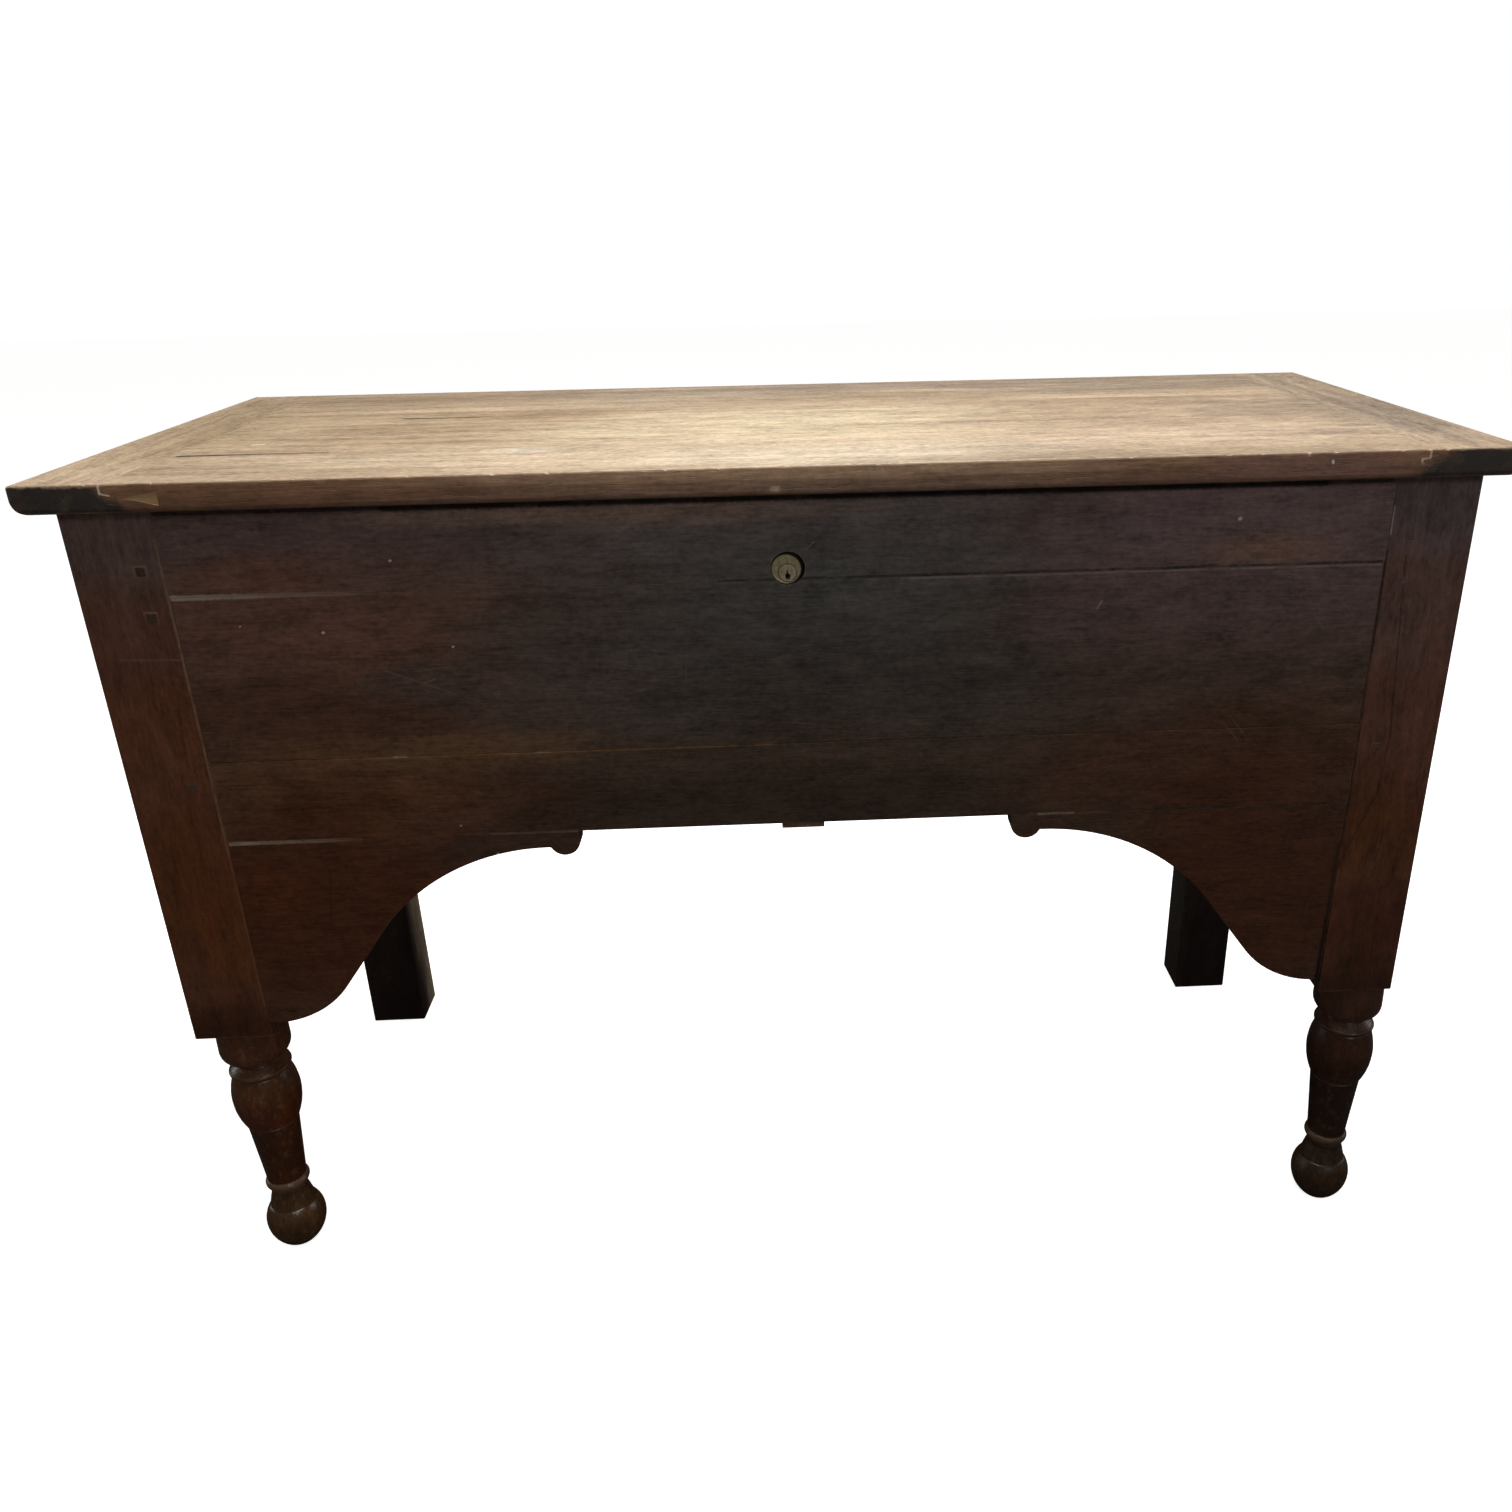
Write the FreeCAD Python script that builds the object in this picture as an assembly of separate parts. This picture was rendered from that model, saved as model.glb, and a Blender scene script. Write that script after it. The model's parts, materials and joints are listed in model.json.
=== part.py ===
import FreeCAD, Part
import math
import os
from FreeCAD import Vector

# A sugar chest: a joined case on two turned front feet and two plain rear legs, with a lid that has
# tongued ends. Millimetres, Z up, X along the front, Y towards the back. The origin lies on the floor
# under the middle of the whole chest, hinge barrels included.

# Case
case_width = 1220.0
case_depth = 512.0
case_top = 828.0
board_thickness = 22.0
rail_height = 78.0
upper_board_height = 156.0
lower_board_height = 82.0
side_upper_height = 165.0
worn_arris = 1.8

# Legs
front_post = 77.0
rear_post_width = 70.0
rear_post_depth = 61.0

# Turned front foot from the floor up: how far each member rises, and its radius
floor_pad_radius = 15.0
ball_lower_rise = 32.5
ball_radius = 30.8
ball_upper_rise = 19.5
ball_top_radius = 24.4
flare_groove_rise = 2.5
flare_foot_radius = 23.2
flare_rise = 11.0
flare_top_radius = 20.4
ankle_neck_lower_rise = 7.5
ankle_neck_radius = 18.8
ankle_neck_upper_rise = 7.0
ankle_bead_lower_rise = 4.5
ankle_bead_radius = 22.6
ankle_bead_upper_rise = 4.5
ankle_fillet_rise = 3.0
taper_foot_radius = 20.2
taper_rise = 73.0
taper_top_radius = 25.8
taper_groove_rise = 2.0
vase_foot_radius = 27.0
vase_lower_rise = 33.0
vase_radius = 34.0
vase_upper_rise = 28.5
vase_top_radius = 28.4
vase_groove_rise = 2.5
bead_foot_radius = 28.4
bead_lower_rise = 3.5
bead_radius = 30.7
bead_upper_rise = 2.5
bead_top_radius = 28.6
collar_rise = 6.0
collar_top_radius = 23.0
neck_lower_rise = 2.2
neck_radius = 21.9
neck_upper_rise = 3.5
cup_foot_radius = 26.0
cup_lower_rise = 13.5
cup_radius = 34.9
cup_upper_rise = 32.8
cup_top_radius = 33.6
groove_depth = 0.7
right_foot_outward = 11.5
right_foot_forward = 3.5

# Joints of the case
tenon_length = 32.0
tenon_thickness = 10.0
tenon_shoulder = 8.0
joint_clearance = 0.1
peg_size = 7.6
peg_length = 30.0
peg_inset = 19.0
peg_proud = 0.3
rail_peg_drop = 55.0
upper_peg_drop = 96.0
lower_peg_drop = 258.0

# Brackets under the front
bracket_reach = 327.0
bracket_drop = 202.0
lobe_width = 28.0
lobe_start = 12.0
lobe_drop = 25.5
arch_drop = 17.0
arch_flat = 3.0
ankle_flat = 5.0
arch_radius_share = 0.65
ankle_radius_share = 0.30

# Floor of the case
floor_lift = 8.0
floor_thickness = 16.0
floor_groove = 8.0
floor_gap = 0.5
batten_width = 41.0
batten_offset = 6.5
batten_thickness = 24.0
divider_thickness = 13.0
divider_height = 182.0
dado_depth = 6.0
nail_shank = 3.0
nail_head = 6.0
nail_head_thickness = 1.4
nail_length = 38.0
nail_offset = 13.0

# Lid
lid_thickness = 25.0
side_overhang = 22.0
front_overhang = 22.0
back_overhang = 2.0
lid_end_width = 76.0
lid_front_board_width = 124.0
lid_rear_board_width = 179.0
tongue_length = 10.0
tongue_thickness = 9.0
tongue_lift = 8.0
lid_top_ease = 2.4
lid_under_round = 5.0
lid_end_round = 13.0
lid_back_ease = 1.6

# Hinges
hinge_inset = 230.0
hinge_length = 64.0
hinge_leaf_width = 26.0
hinge_leaf_thickness = 2.0
hinge_leaf_gap = 0.1
hinge_barrel_radius = 4.0
hinge_standoff = 0.4
hinge_knuckle_gap = 0.3
hinge_pin_radius = 1.6
hinge_screw_pitch = 34.0
hinge_screw_inset = 17.0
knuckle_count = 3

# Wood screws
screw_head_radius = 3.5
screw_head_height = 1.9
screw_shank_radius = 1.7
hinge_screw_length = 18.0
lock_screw_length = 14.0

# Lock
lock_bore_radius = 15.0
lock_bore_drop = 68.0
lock_bore_offset = 0.5
cylinder_radius = 14.0
cylinder_drop = 0.6
cylinder_recess = 3.0
cylinder_rim = 1.0
plug_radius = 7.5
plug_drop = 4.2
plug_proud = 0.6
keyhole_width = 4.0
keyhole_height = 5.8
keyhole_drop = 0.6
key_slot_width = 1.6
key_slot_rise = 2.6
key_notch_reach = 1.2
key_notch_drop = 2.2
key_notch_height = 1.3
keyway_depth = 17.0
running_clearance = 0.05
lock_width = 64.0
lock_height = 91.0
lock_depth = 16.0
lock_wall = 1.5
ear_width = 10.0
ear_height = 66.0
ear_thickness = 2.0
ear_drop = 8.0
ear_screw_drop = 40.0
face_plate_thickness = 2.0
face_plate_width = 78.0
face_plate_reach = 13.0
face_screw_offset = 28.0
cam_radius = 7.2
cam_thickness = 2.4
cam_seat = 0.5
cam_screw_radius = 2.6
cam_screw_head = 1.2
cam_screw_shank = 1.4
cam_screw_length = 8.0
drive_radius = 5.0
drive_pin_radius = 1.5
drive_slot_clearance = 0.3
bolt_thickness = 4.0
bolt_setback = 6.0
bolt_bar_drop = 15.5
bolt_bar_height = 8.0
bolt_stem_width = 12.0
hook_post_width = 5.0
hook_finger_length = 7.0
hook_finger_height = 4.5
hook_gap = 0.8
guide_rib_height = 3.6
guide_rib_gap = 0.3
guide_rib_stand = 1.0
lug_offset = 14.0
lug_thickness = 3.0
lug_width = 8.0
lug_length = 13.0
lug_eye_width = 5.0
lug_eye_height = 6.0
lug_eye_drop = 7.0
lug_slot_side_clearance = 0.6
lug_slot_end_clearance = 1.0
strike_thickness = 2.0
strike_width = 56.0
strike_depth = 16.0
strike_recess = 0.2
strike_screw_offset = 22.0

# Overrun of every cut
overrun = 1.0

# Places worked out from the sizes above
ball_top = ball_lower_rise + ball_upper_rise
flare_top = ball_top + flare_groove_rise + flare_rise
ankle_neck_top = flare_top + ankle_neck_lower_rise + ankle_neck_upper_rise
ankle_top = ankle_neck_top + ankle_bead_lower_rise + ankle_bead_upper_rise + ankle_fillet_rise
taper_top = ankle_top + taper_rise + taper_groove_rise
vase_top = taper_top + vase_lower_rise + vase_upper_rise + vase_groove_rise
collar_top = vase_top + bead_lower_rise + bead_upper_rise + collar_rise
neck_top = collar_top + neck_lower_rise + neck_upper_rise
foot_height = neck_top + cup_lower_rise + cup_upper_rise
half_width = case_width / 2
lid_depth = front_overhang + case_depth + back_overhang
overall_depth = lid_depth + hinge_standoff + 2 * hinge_barrel_radius
lid_front = -overall_depth / 2
lid_back = lid_front + lid_depth
lid_half = half_width + side_overhang
lid_top = case_top + lid_thickness
case_front = lid_front + front_overhang
case_back = case_front + case_depth
front_inner = case_front + board_thickness
back_inner = case_back - board_thickness
side_inner = half_width - board_thickness
front_shoulder = half_width - front_post
rear_shoulder = half_width - rear_post_width
side_front_shoulder = case_front + front_post
side_rear_shoulder = case_back - rear_post_depth
rail_bottom = case_top - rail_height
upper_bottom = rail_bottom - upper_board_height
panel_bottom = upper_bottom - lower_board_height
side_joint = case_top - side_upper_height
bracket_bottom = panel_bottom - bracket_drop
floor_under = panel_bottom + floor_lift
floor_top = floor_under + floor_thickness
batten_under = floor_under - batten_thickness
divider_top = floor_top + divider_height
hinge_offset = half_width - hinge_inset
hinge_axis_y = lid_back + hinge_standoff + hinge_barrel_radius
bore_height = case_top - lock_bore_drop
cylinder_height = bore_height - cylinder_drop
plug_height = cylinder_height - plug_drop
cylinder_face = case_front + cylinder_recess
plug_rear = front_inner + lock_wall + cam_seat
cam_rear = plug_rear + cam_thickness
bolt_near = front_inner + bolt_setback
bolt_far = bolt_near + bolt_thickness
bolt_middle = (bolt_near + bolt_far) / 2
bolt_bar_top = case_top - bolt_bar_drop
bolt_bar_under = bolt_bar_top - bolt_bar_height
drive_side = drive_radius * math.sin(math.radians(45))
drive_lift = drive_radius * math.cos(math.radians(45))
face_plate_under = case_top - face_plate_thickness
lock_under = face_plate_under - lock_height
face_screw_y = front_inner - face_plate_reach / 2
strike_under = case_top + strike_recess

NODES = {}


def box(x0, x1, y0, y1, z0, z1):
    """A block between two limits on each axis, given in either order."""
    low = Vector(min(x0, x1), min(y0, y1), min(z0, z1))
    return Part.makeBox(abs(x1 - x0), abs(y1 - y0), abs(z1 - z0), low)


def grown(limits, gap):
    """The block that leaves a clearance all round the block between the same limits."""
    x0, x1, y0, y1, z0, z1 = limits
    return box(x0 - gap, x1 + gap, y0 - gap, y1 + gap, z0 - gap, z1 + gap)


def rod(radius, start, end):
    """A round bar from one point to another."""
    along = end.sub(start)
    return Part.makeCylinder(radius, along.Length, start, along)


def mirrored(shape):
    """The same piece on the other side of the chest."""
    return shape.mirror(Vector(0, 0, 0), Vector(1, 0, 0))


def both_sides(shape):
    """A piece and its mirror image, as separate solids."""
    return [shape, mirrored(shape)]


def keep(name, shapes):
    """Writes down a node made of one solid or of several like ones."""
    if not isinstance(shapes, list):
        shapes = [shapes]
    solids = [solid for shape in shapes for solid in shape.Solids]
    NODES[name] = solids[0] if len(solids) == 1 else Part.makeCompound(solids)


def on_plane(plane, level, a, b):
    """A point of a flat outline: plane names the outline's two axes, level its place on the third."""
    if plane == "xy":
        return Vector(a, b, level)
    if plane == "xz":
        return Vector(a, level, b)
    return Vector(level, a, b)


def outline(plane, level, corners):
    """A closed outline of straight sides, whose corners (a, b, radius) are rounded where radius isn't 0."""
    edges = []
    ends = []
    count = len(corners)
    for k in range(count):
        a, b, radius = corners[k]
        corner = Vector(a, b, 0)
        before = Vector(corners[k - 1][0], corners[k - 1][1], 0).sub(corner).normalize()
        after = Vector(corners[(k + 1) % count][0], corners[(k + 1) % count][1], 0).sub(corner).normalize()
        half = before.getAngle(after) / 2
        if radius == 0:
            ends.append((corner, None, corner))
            continue
        reach = radius / math.tan(half)
        bisector = before.add(after).normalize()
        middle = corner.add(bisector.multiply(radius / math.sin(half) - radius))
        ends.append((corner.add(before.multiply(reach)), middle, corner.add(after.multiply(reach))))
    for k in range(count):
        start, middle, end = ends[k]
        if middle is not None:
            points = [on_plane(plane, level, p.x, p.y) for p in (start, middle, end)]
            edges.append(Part.Arc(*points).toShape())
        following = ends[(k + 1) % count][0]
        edges.append(Part.makeLine(on_plane(plane, level, end.x, end.y),
                                   on_plane(plane, level, following.x, following.y)))
    return Part.Face(Part.Wire(edges))


def plate(plane, near, far, corners):
    """A flat piece of rounded outline between two levels."""
    return outline(plane, near, corners).extrude(on_plane(plane, far - near, 0, 0))


def corners_of(a0, a1, b0, b1, radius):
    """The four corners of a rectangle with one radius."""
    return [(a0, b0, radius), (a1, b0, radius), (a1, b1, radius), (a0, b1, radius)]


def screw(head, way, length, gap=0.0):
    """A blunt countersunk wood screw from its head's middle along a way, or with a gap its hole."""
    profile = [Vector(0, 0, 0), Vector(screw_head_radius + gap, 0, 0),
               Vector(screw_shank_radius + gap, 0, screw_head_height + gap),
               Vector(screw_shank_radius + gap, 0, length + gap), Vector(0, 0, length + gap),
               Vector(0, 0, 0)]
    body = Part.Face(Part.makePolygon(profile)).revolve(Vector(0, 0, 0), Vector(0, 0, 1), 360)
    body.Placement = FreeCAD.Placement(head, FreeCAD.Rotation(Vector(0, 0, 1), way))
    return body


def nail(head, way, gap=0.0):
    """A cut nail with a flat rectangular head, or with a gap the hole it sits in."""
    shank = nail_shank / 2 + gap
    wide = nail_head / 2 + gap
    body = box(-shank, shank, -shank, shank, 0, nail_length + gap)
    body = body.fuse(box(-wide, wide, -wide, wide, 0, nail_head_thickness + gap))
    body.Placement = FreeCAD.Placement(head, FreeCAD.Rotation(Vector(0, 0, 1), way))
    return body


# Tenons and pegs, by their limits on the left side of the chest


def tenon_along_x(shoulder, outer_face, inward, low, high):
    """A tenon at the left end of a front or back board."""
    near = outer_face + inward * (board_thickness - tenon_thickness) / 2
    far = near + inward * tenon_thickness
    return (-shoulder - tenon_length, -shoulder, min(near, far), max(near, far),
            low + tenon_shoulder, high - tenon_shoulder)


def tenon_along_y(shoulder, outward, low, high):
    """A tenon at the front or rear end of the left side's boards."""
    outer = -half_width + (board_thickness - tenon_thickness) / 2
    end = shoulder + outward * tenon_length
    return (outer, outer + tenon_thickness, min(shoulder, end), max(shoulder, end),
            low + tenon_shoulder, high - tenon_shoulder)


def front_peg(drop):
    middle = -front_shoulder - peg_inset
    half = peg_size / 2
    height = case_top - drop
    return (middle - half, middle + half, case_front - peg_proud, case_front + peg_length,
            height - half, height + half)


def back_peg(drop):
    middle = -rear_shoulder - peg_inset
    half = peg_size / 2
    height = case_top - drop
    return (middle - half, middle + half, case_back - peg_length, case_back + peg_proud,
            height - half, height + half)


def side_peg(place, drop):
    half = peg_size / 2
    height = case_top - drop
    return (-half_width - peg_proud, -half_width + peg_length, place - half, place + half,
            height - half, height + half)


front_spans = [(rail_bottom, case_top), (upper_bottom, rail_bottom), (panel_bottom, upper_bottom)]
side_spans = [(side_joint, case_top), (panel_bottom, side_joint)]
front_tenons = [tenon_along_x(front_shoulder, case_front, 1, low, high) for low, high in front_spans]
bracket_tenon = tenon_along_x(front_shoulder, case_front, 1, bracket_bottom + tenon_length, panel_bottom)
back_tenons = [tenon_along_x(rear_shoulder, case_back, -1, low, high) for low, high in side_spans]
side_front_tenons = [tenon_along_y(side_front_shoulder, -1, low, high) for low, high in side_spans]
side_rear_tenons = [tenon_along_y(side_rear_shoulder, 1, low, high) for low, high in side_spans]
front_peg_limits = [front_peg(drop) for drop in (rail_peg_drop, upper_peg_drop, lower_peg_drop)]
back_peg_limits = [back_peg(drop) for drop in (rail_peg_drop, lower_peg_drop)]
side_peg_limits = [side_peg(place, drop)
                   for place in (side_front_shoulder - peg_inset, side_rear_shoulder + peg_inset)
                   for drop in (rail_peg_drop, lower_peg_drop)]


def holes(limit_list):
    return [grown(limits, joint_clearance) for limits in limit_list]


# Legs


def turned_place(place):
    """The point of the turned outline at a place given as (height, radius)."""
    return Vector(place[1], 0, place[0])


def turned_arc(place, widest):
    """The arc between one end of a turned member and its widest or narrowest place."""
    step = widest[1] - place[1]
    rise = place[0] - widest[0]
    bend = (step * step + rise * rise) / (2 * step)
    half = math.atan2(rise, abs(bend) - abs(step)) / 2
    middle = (widest[0] + abs(bend) * math.sin(half), widest[1] - bend + bend * math.cos(half))
    return Part.Arc(turned_place(place), turned_place(middle), turned_place(widest)).toShape()


def turned_line(start, end):
    return Part.makeLine(turned_place(start), turned_place(end))


def turned_foot():
    """The foot as a solid of revolution about the Z axis, turned from the floor up."""
    members = [
        ("swell", (ball_lower_rise, ball_radius), (ball_upper_rise, ball_top_radius)),
        ("groove", (flare_groove_rise, flare_foot_radius)),
        ("straight", (flare_rise, flare_top_radius)),
        ("swell", (ankle_neck_lower_rise, ankle_neck_radius), (ankle_neck_upper_rise, flare_top_radius)),
        ("swell", (ankle_bead_lower_rise, ankle_bead_radius), (ankle_bead_upper_rise, taper_foot_radius)),
        ("straight", (ankle_fillet_rise, taper_foot_radius)),
        ("straight", (taper_rise, taper_top_radius)),
        ("groove", (taper_groove_rise, vase_foot_radius)),
        ("swell", (vase_lower_rise, vase_radius), (vase_upper_rise, vase_top_radius)),
        ("groove", (vase_groove_rise, bead_foot_radius)),
        ("swell", (bead_lower_rise, bead_radius), (bead_upper_rise, bead_top_radius)),
        ("straight", (collar_rise, collar_top_radius)),
        ("swell", (neck_lower_rise, neck_radius), (neck_upper_rise, cup_foot_radius)),
        ("swell", (cup_lower_rise, cup_radius), (cup_upper_rise, cup_top_radius)),
    ]
    place = (0, floor_pad_radius)
    edges = [turned_line((0, 0), place)]
    for kind, first, *last in members:
        following = (place[0] + first[0], first[1])
        if kind == "swell":
            widest = following
            following = (widest[0] + last[0][0], last[0][1])
            edges += [turned_arc(place, widest), turned_arc(following, widest)]
        elif kind == "groove":
            bottom = ((place[0] + following[0]) / 2, min(place[1], following[1]) - groove_depth)
            edges += [turned_line(place, bottom), turned_line(bottom, following)]
        else:
            edges.append(turned_line(place, following))
        place = following
    buried = (place[0] + overrun, place[1])
    axis_top = (place[0] + overrun, 0)
    edges += [turned_line(place, buried), turned_line(buried, axis_top), turned_line(axis_top, (0, 0))]
    return Part.Face(Part.Wire(edges)).revolve(Vector(0, 0, 0), Vector(0, 0, 1), 360)


def front_leg(foot_outward, foot_forward):
    """The left leg, whose foot may stand off the middle of its post."""
    post = plate("xy", foot_height, case_top,
                 corners_of(-half_width, -front_shoulder, case_front, side_front_shoulder, worn_arris))
    foot = turned_foot()
    foot.translate(Vector(-half_width + front_post / 2 - foot_outward,
                          case_front + front_post / 2 - foot_forward, 0))
    cuts = holes(front_tenons + [bracket_tenon] + side_front_tenons + front_peg_limits + side_peg_limits)
    return post.fuse(foot).cut(cuts)


def rear_leg():
    post = plate("xy", 0, case_top,
                 corners_of(-half_width, -rear_shoulder, side_rear_shoulder, case_back, worn_arris))
    return post.cut(holes(back_tenons + side_rear_tenons + back_peg_limits + side_peg_limits))


# Boards of the case


def cross_board(shoulder, near, far, span, tenon):
    """A front or back board with a tenon at each end."""
    body = box(-shoulder, shoulder, near, far, span[0], span[1])
    end = box(*tenon)
    return body.fuse([end, mirrored(end)])


def lock_bore():
    return rod(lock_bore_radius, Vector(lock_bore_offset, case_front - overrun, bore_height),
               Vector(lock_bore_offset, front_inner + overrun, bore_height))


def divider_dado():
    gap = joint_clearance
    half = divider_thickness / 2 + gap
    return box(-half, half, front_inner - dado_depth - gap, back_inner + dado_depth + gap,
               floor_top - gap, divider_top + gap)


def floor_grooves():
    """The space that the floor boards fill, cut from the boards round them."""
    gap = joint_clearance
    depth = floor_groove + floor_gap
    along = box(-front_shoulder, front_shoulder, front_inner - depth, front_inner + overrun,
                floor_under - gap, floor_top + gap)
    rear = box(-rear_shoulder, rear_shoulder, back_inner - overrun, back_inner + depth,
               floor_under - gap, floor_top + gap)
    left = box(-side_inner - depth, -side_inner + overrun, side_front_shoulder, side_rear_shoulder,
               floor_under - gap, floor_top + gap)
    return along, rear, left


def front_boards():
    names = ["front_top_rail", "front_upper_board", "front_lower_board"]
    peg_cuts = [hole for limits in front_peg_limits for hole in both_sides(grown(limits, joint_clearance))]
    groove = floor_grooves()[0]
    for name, span, tenon in zip(names, front_spans, front_tenons):
        board = cross_board(front_shoulder, case_front, front_inner, span, tenon)
        board = board.cut(peg_cuts + [lock_bore(), divider_dado(), groove])
        if name == "front_top_rail":
            board = board.cut([face_plate_space()] + lock_screw_holes())
        keep(name, board)


def back_boards():
    names = ["back_upper_board", "back_lower_board"]
    peg_cuts = [hole for limits in back_peg_limits for hole in both_sides(grown(limits, joint_clearance))]
    groove = floor_grooves()[1]
    for name, span, tenon in zip(names, side_spans, back_tenons):
        board = cross_board(rear_shoulder, back_inner, case_back, span, tenon)
        board = board.cut(peg_cuts + [divider_dado(), groove])
        if name == "back_upper_board":
            board = board.cut(case_leaf_spaces())
        keep(name, board)


def side_boards():
    groove = floor_grooves()[2]
    peg_cuts = holes(side_peg_limits)
    rows = zip(["upper", "lower"], side_spans, side_front_tenons, side_rear_tenons)
    for level, span, front_tenon, rear_tenon in rows:
        body = box(-half_width, -side_inner, side_front_shoulder, side_rear_shoulder, span[0], span[1])
        board = body.fuse([box(*front_tenon), box(*rear_tenon)]).cut(peg_cuts + [groove])
        keep("left_side_%s_board" % level, board)
        keep("right_side_%s_board" % level, mirrored(board))


def bracket():
    """The left ogee bracket: lobe at its free end, arch, and a sweep down to the foot's post."""
    start = -front_shoulder
    free_end = start + bracket_reach
    cusp = free_end - lobe_width
    crown = cusp - arch_flat
    crown_height = panel_bottom - arch_drop
    run = bracket_reach - lobe_width - arch_flat - ankle_flat
    fall = bracket_drop - arch_drop
    whole = (run * run + fall * fall) / (2 * fall)
    arch_radius = arch_radius_share * whole
    ankle_radius = ankle_radius_share * whole
    both = arch_radius + ankle_radius
    slope = math.atan2(run, both - fall) - math.acos(both / math.hypot(run, both - fall))

    def arch_point(angle):
        return Vector(crown - arch_radius * math.sin(angle), case_front,
                      crown_height - arch_radius * (1 - math.cos(angle)))

    def ankle_point(angle):
        return Vector(start + ankle_flat + ankle_radius * math.sin(angle), case_front,
                      bracket_bottom + ankle_radius * (1 - math.cos(angle)))

    top_post = Vector(start, case_front, panel_bottom)
    top_end = Vector(free_end, case_front, panel_bottom)
    lobe_top = Vector(free_end, case_front, panel_bottom - lobe_start)
    lobe_low = Vector(free_end - lobe_width / 2, case_front, panel_bottom - lobe_drop)
    cusp_point = Vector(cusp, case_front, crown_height)
    low_post = Vector(start, case_front, bracket_bottom)
    edges = [Part.makeLine(top_post, top_end), Part.makeLine(top_end, lobe_top),
             Part.Arc(lobe_top, lobe_low, cusp_point).toShape(),
             Part.makeLine(cusp_point, arch_point(0)),
             Part.Arc(arch_point(0), arch_point(slope / 2), arch_point(slope)).toShape(),
             Part.makeLine(arch_point(slope), ankle_point(slope)),
             Part.Arc(ankle_point(slope), ankle_point(slope / 2), ankle_point(0)).toShape(),
             Part.makeLine(ankle_point(0), low_post), Part.makeLine(low_post, top_post)]
    body = Part.Face(Part.Wire(edges)).extrude(Vector(0, board_thickness, 0))
    return body.fuse(box(*bracket_tenon))


# Floor, batten and divider


def floor_boards():
    """Three boards in grooves of the case, notched round the legs."""
    low = front_inner - floor_groove
    high = back_inner + floor_groove
    board_width = (high - low) / 3
    reach = side_inner + floor_groove
    notches = [box(-reach - overrun, -front_shoulder + floor_gap, low - overrun,
                   side_front_shoulder + floor_gap, floor_under - overrun, floor_top + overrun),
               box(-reach - overrun, -rear_shoulder + floor_gap, side_rear_shoulder - floor_gap,
                   high + overrun, floor_under - overrun, floor_top + overrun)]
    cuts = [notch for shape in notches for notch in both_sides(shape)]
    cuts += [nail(place, Vector(0, 0, 1), joint_clearance) for place in batten_nail_places()]
    for k, name in enumerate(["floor_front_board", "floor_middle_board", "floor_rear_board"]):
        board = box(-reach, reach, low + k * board_width, low + (k + 1) * board_width,
                    floor_under, floor_top)
        keep(name, board.cut(cuts))


def batten_nail_places():
    """Nails from below, one near each edge of every floor board."""
    run = (back_inner - front_inner) / 6
    return [Vector(batten_offset + nail_offset * (-1) ** k, front_inner + run * (k + 1 / 2), batten_under)
            for k in range(6)]


def centre_batten():
    half = batten_width / 2
    batten = box(batten_offset - half, batten_offset + half, front_inner, back_inner,
                 batten_under, floor_under)
    places = batten_nail_places()
    keep("centre_batten", batten.cut([nail(place, Vector(0, 0, 1), joint_clearance) for place in places]))
    keep("batten_nails", [nail(place, Vector(0, 0, 1)) for place in places])


def divider():
    half = divider_thickness / 2
    keep("divider", box(-half, half, front_inner - dado_depth, back_inner + dado_depth,
                        floor_top, divider_top))


def pegs():
    front = [box(*limits) for limits in front_peg_limits]
    back = [box(*limits) for limits in back_peg_limits]
    left = [box(*limits) for limits in side_peg_limits]
    keep("front_pegs", [peg for shape in front for peg in both_sides(shape)])
    keep("back_pegs", [peg for shape in back for peg in both_sides(shape)])
    keep("left_side_pegs", left)
    keep("right_side_pegs", [mirrored(peg) for peg in left])


# Lid


def lid_blank():
    """The whole lid before it is divided: its section front to back, along the chest."""
    corners = [(lid_front, case_top, lid_under_round), (lid_back, case_top, lid_back_ease),
               (lid_back, lid_top, lid_back_ease), (lid_front, lid_top, lid_top_ease)]
    return plate("yz", -lid_half, lid_half, corners)


def lid_tongue(gap):
    """The left end's tongue, or with a gap the groove that it fills."""
    seam = -lid_half + lid_end_width
    low = case_top + tongue_lift
    return box(seam - gap, seam + tongue_length + gap, lid_front - overrun, lid_back + overrun,
               low - gap, low + tongue_thickness + gap)


def lid_boards():
    seam = lid_half - lid_end_width
    joints = [lid_front, lid_front + lid_front_board_width, lid_back - lid_rear_board_width, lid_back]
    blank = lid_blank()
    cuts = both_sides(lid_tongue(joint_clearance)) + lid_leaf_spaces() + [strike_space()]
    cuts += strike_screws(joint_clearance)
    names = ["lid_front_board", "lid_middle_board", "lid_rear_board"]
    for name, near, far in zip(names, joints, joints[1:]):
        near -= overrun if near == lid_front else 0
        far += overrun if far == lid_back else 0
        board = blank.common(box(-seam, seam, near, far, case_top, lid_top))
        keep(name, board.cut(cuts))


def lid_ends():
    """Tongued ends, well rounded under their outer edge."""
    seam = -lid_half + lid_end_width
    corners = [(-lid_half, case_top, lid_end_round), (seam, case_top, 0), (seam, lid_top, 0),
               (-lid_half, lid_top, lid_top_ease)]
    end = plate("xz", lid_front, lid_back, corners)
    end = end.fuse(lid_tongue(0)).common(lid_blank())
    keep("lid_left_end", end)
    keep("lid_right_end", mirrored(end))


# Hinges, each described about its own middle and then set left and right


def hinge_screw_heads(height):
    half = hinge_screw_pitch / 2
    return [Vector(-hinge_offset + step, hinge_axis_y - hinge_screw_inset, height)
            for step in (-half, half)]


def case_leaf_screws(gap=0.0):
    heads = hinge_screw_heads(case_top - hinge_leaf_gap)
    return [screw(head, Vector(0, 0, -1), hinge_screw_length, gap) for head in heads]


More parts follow.
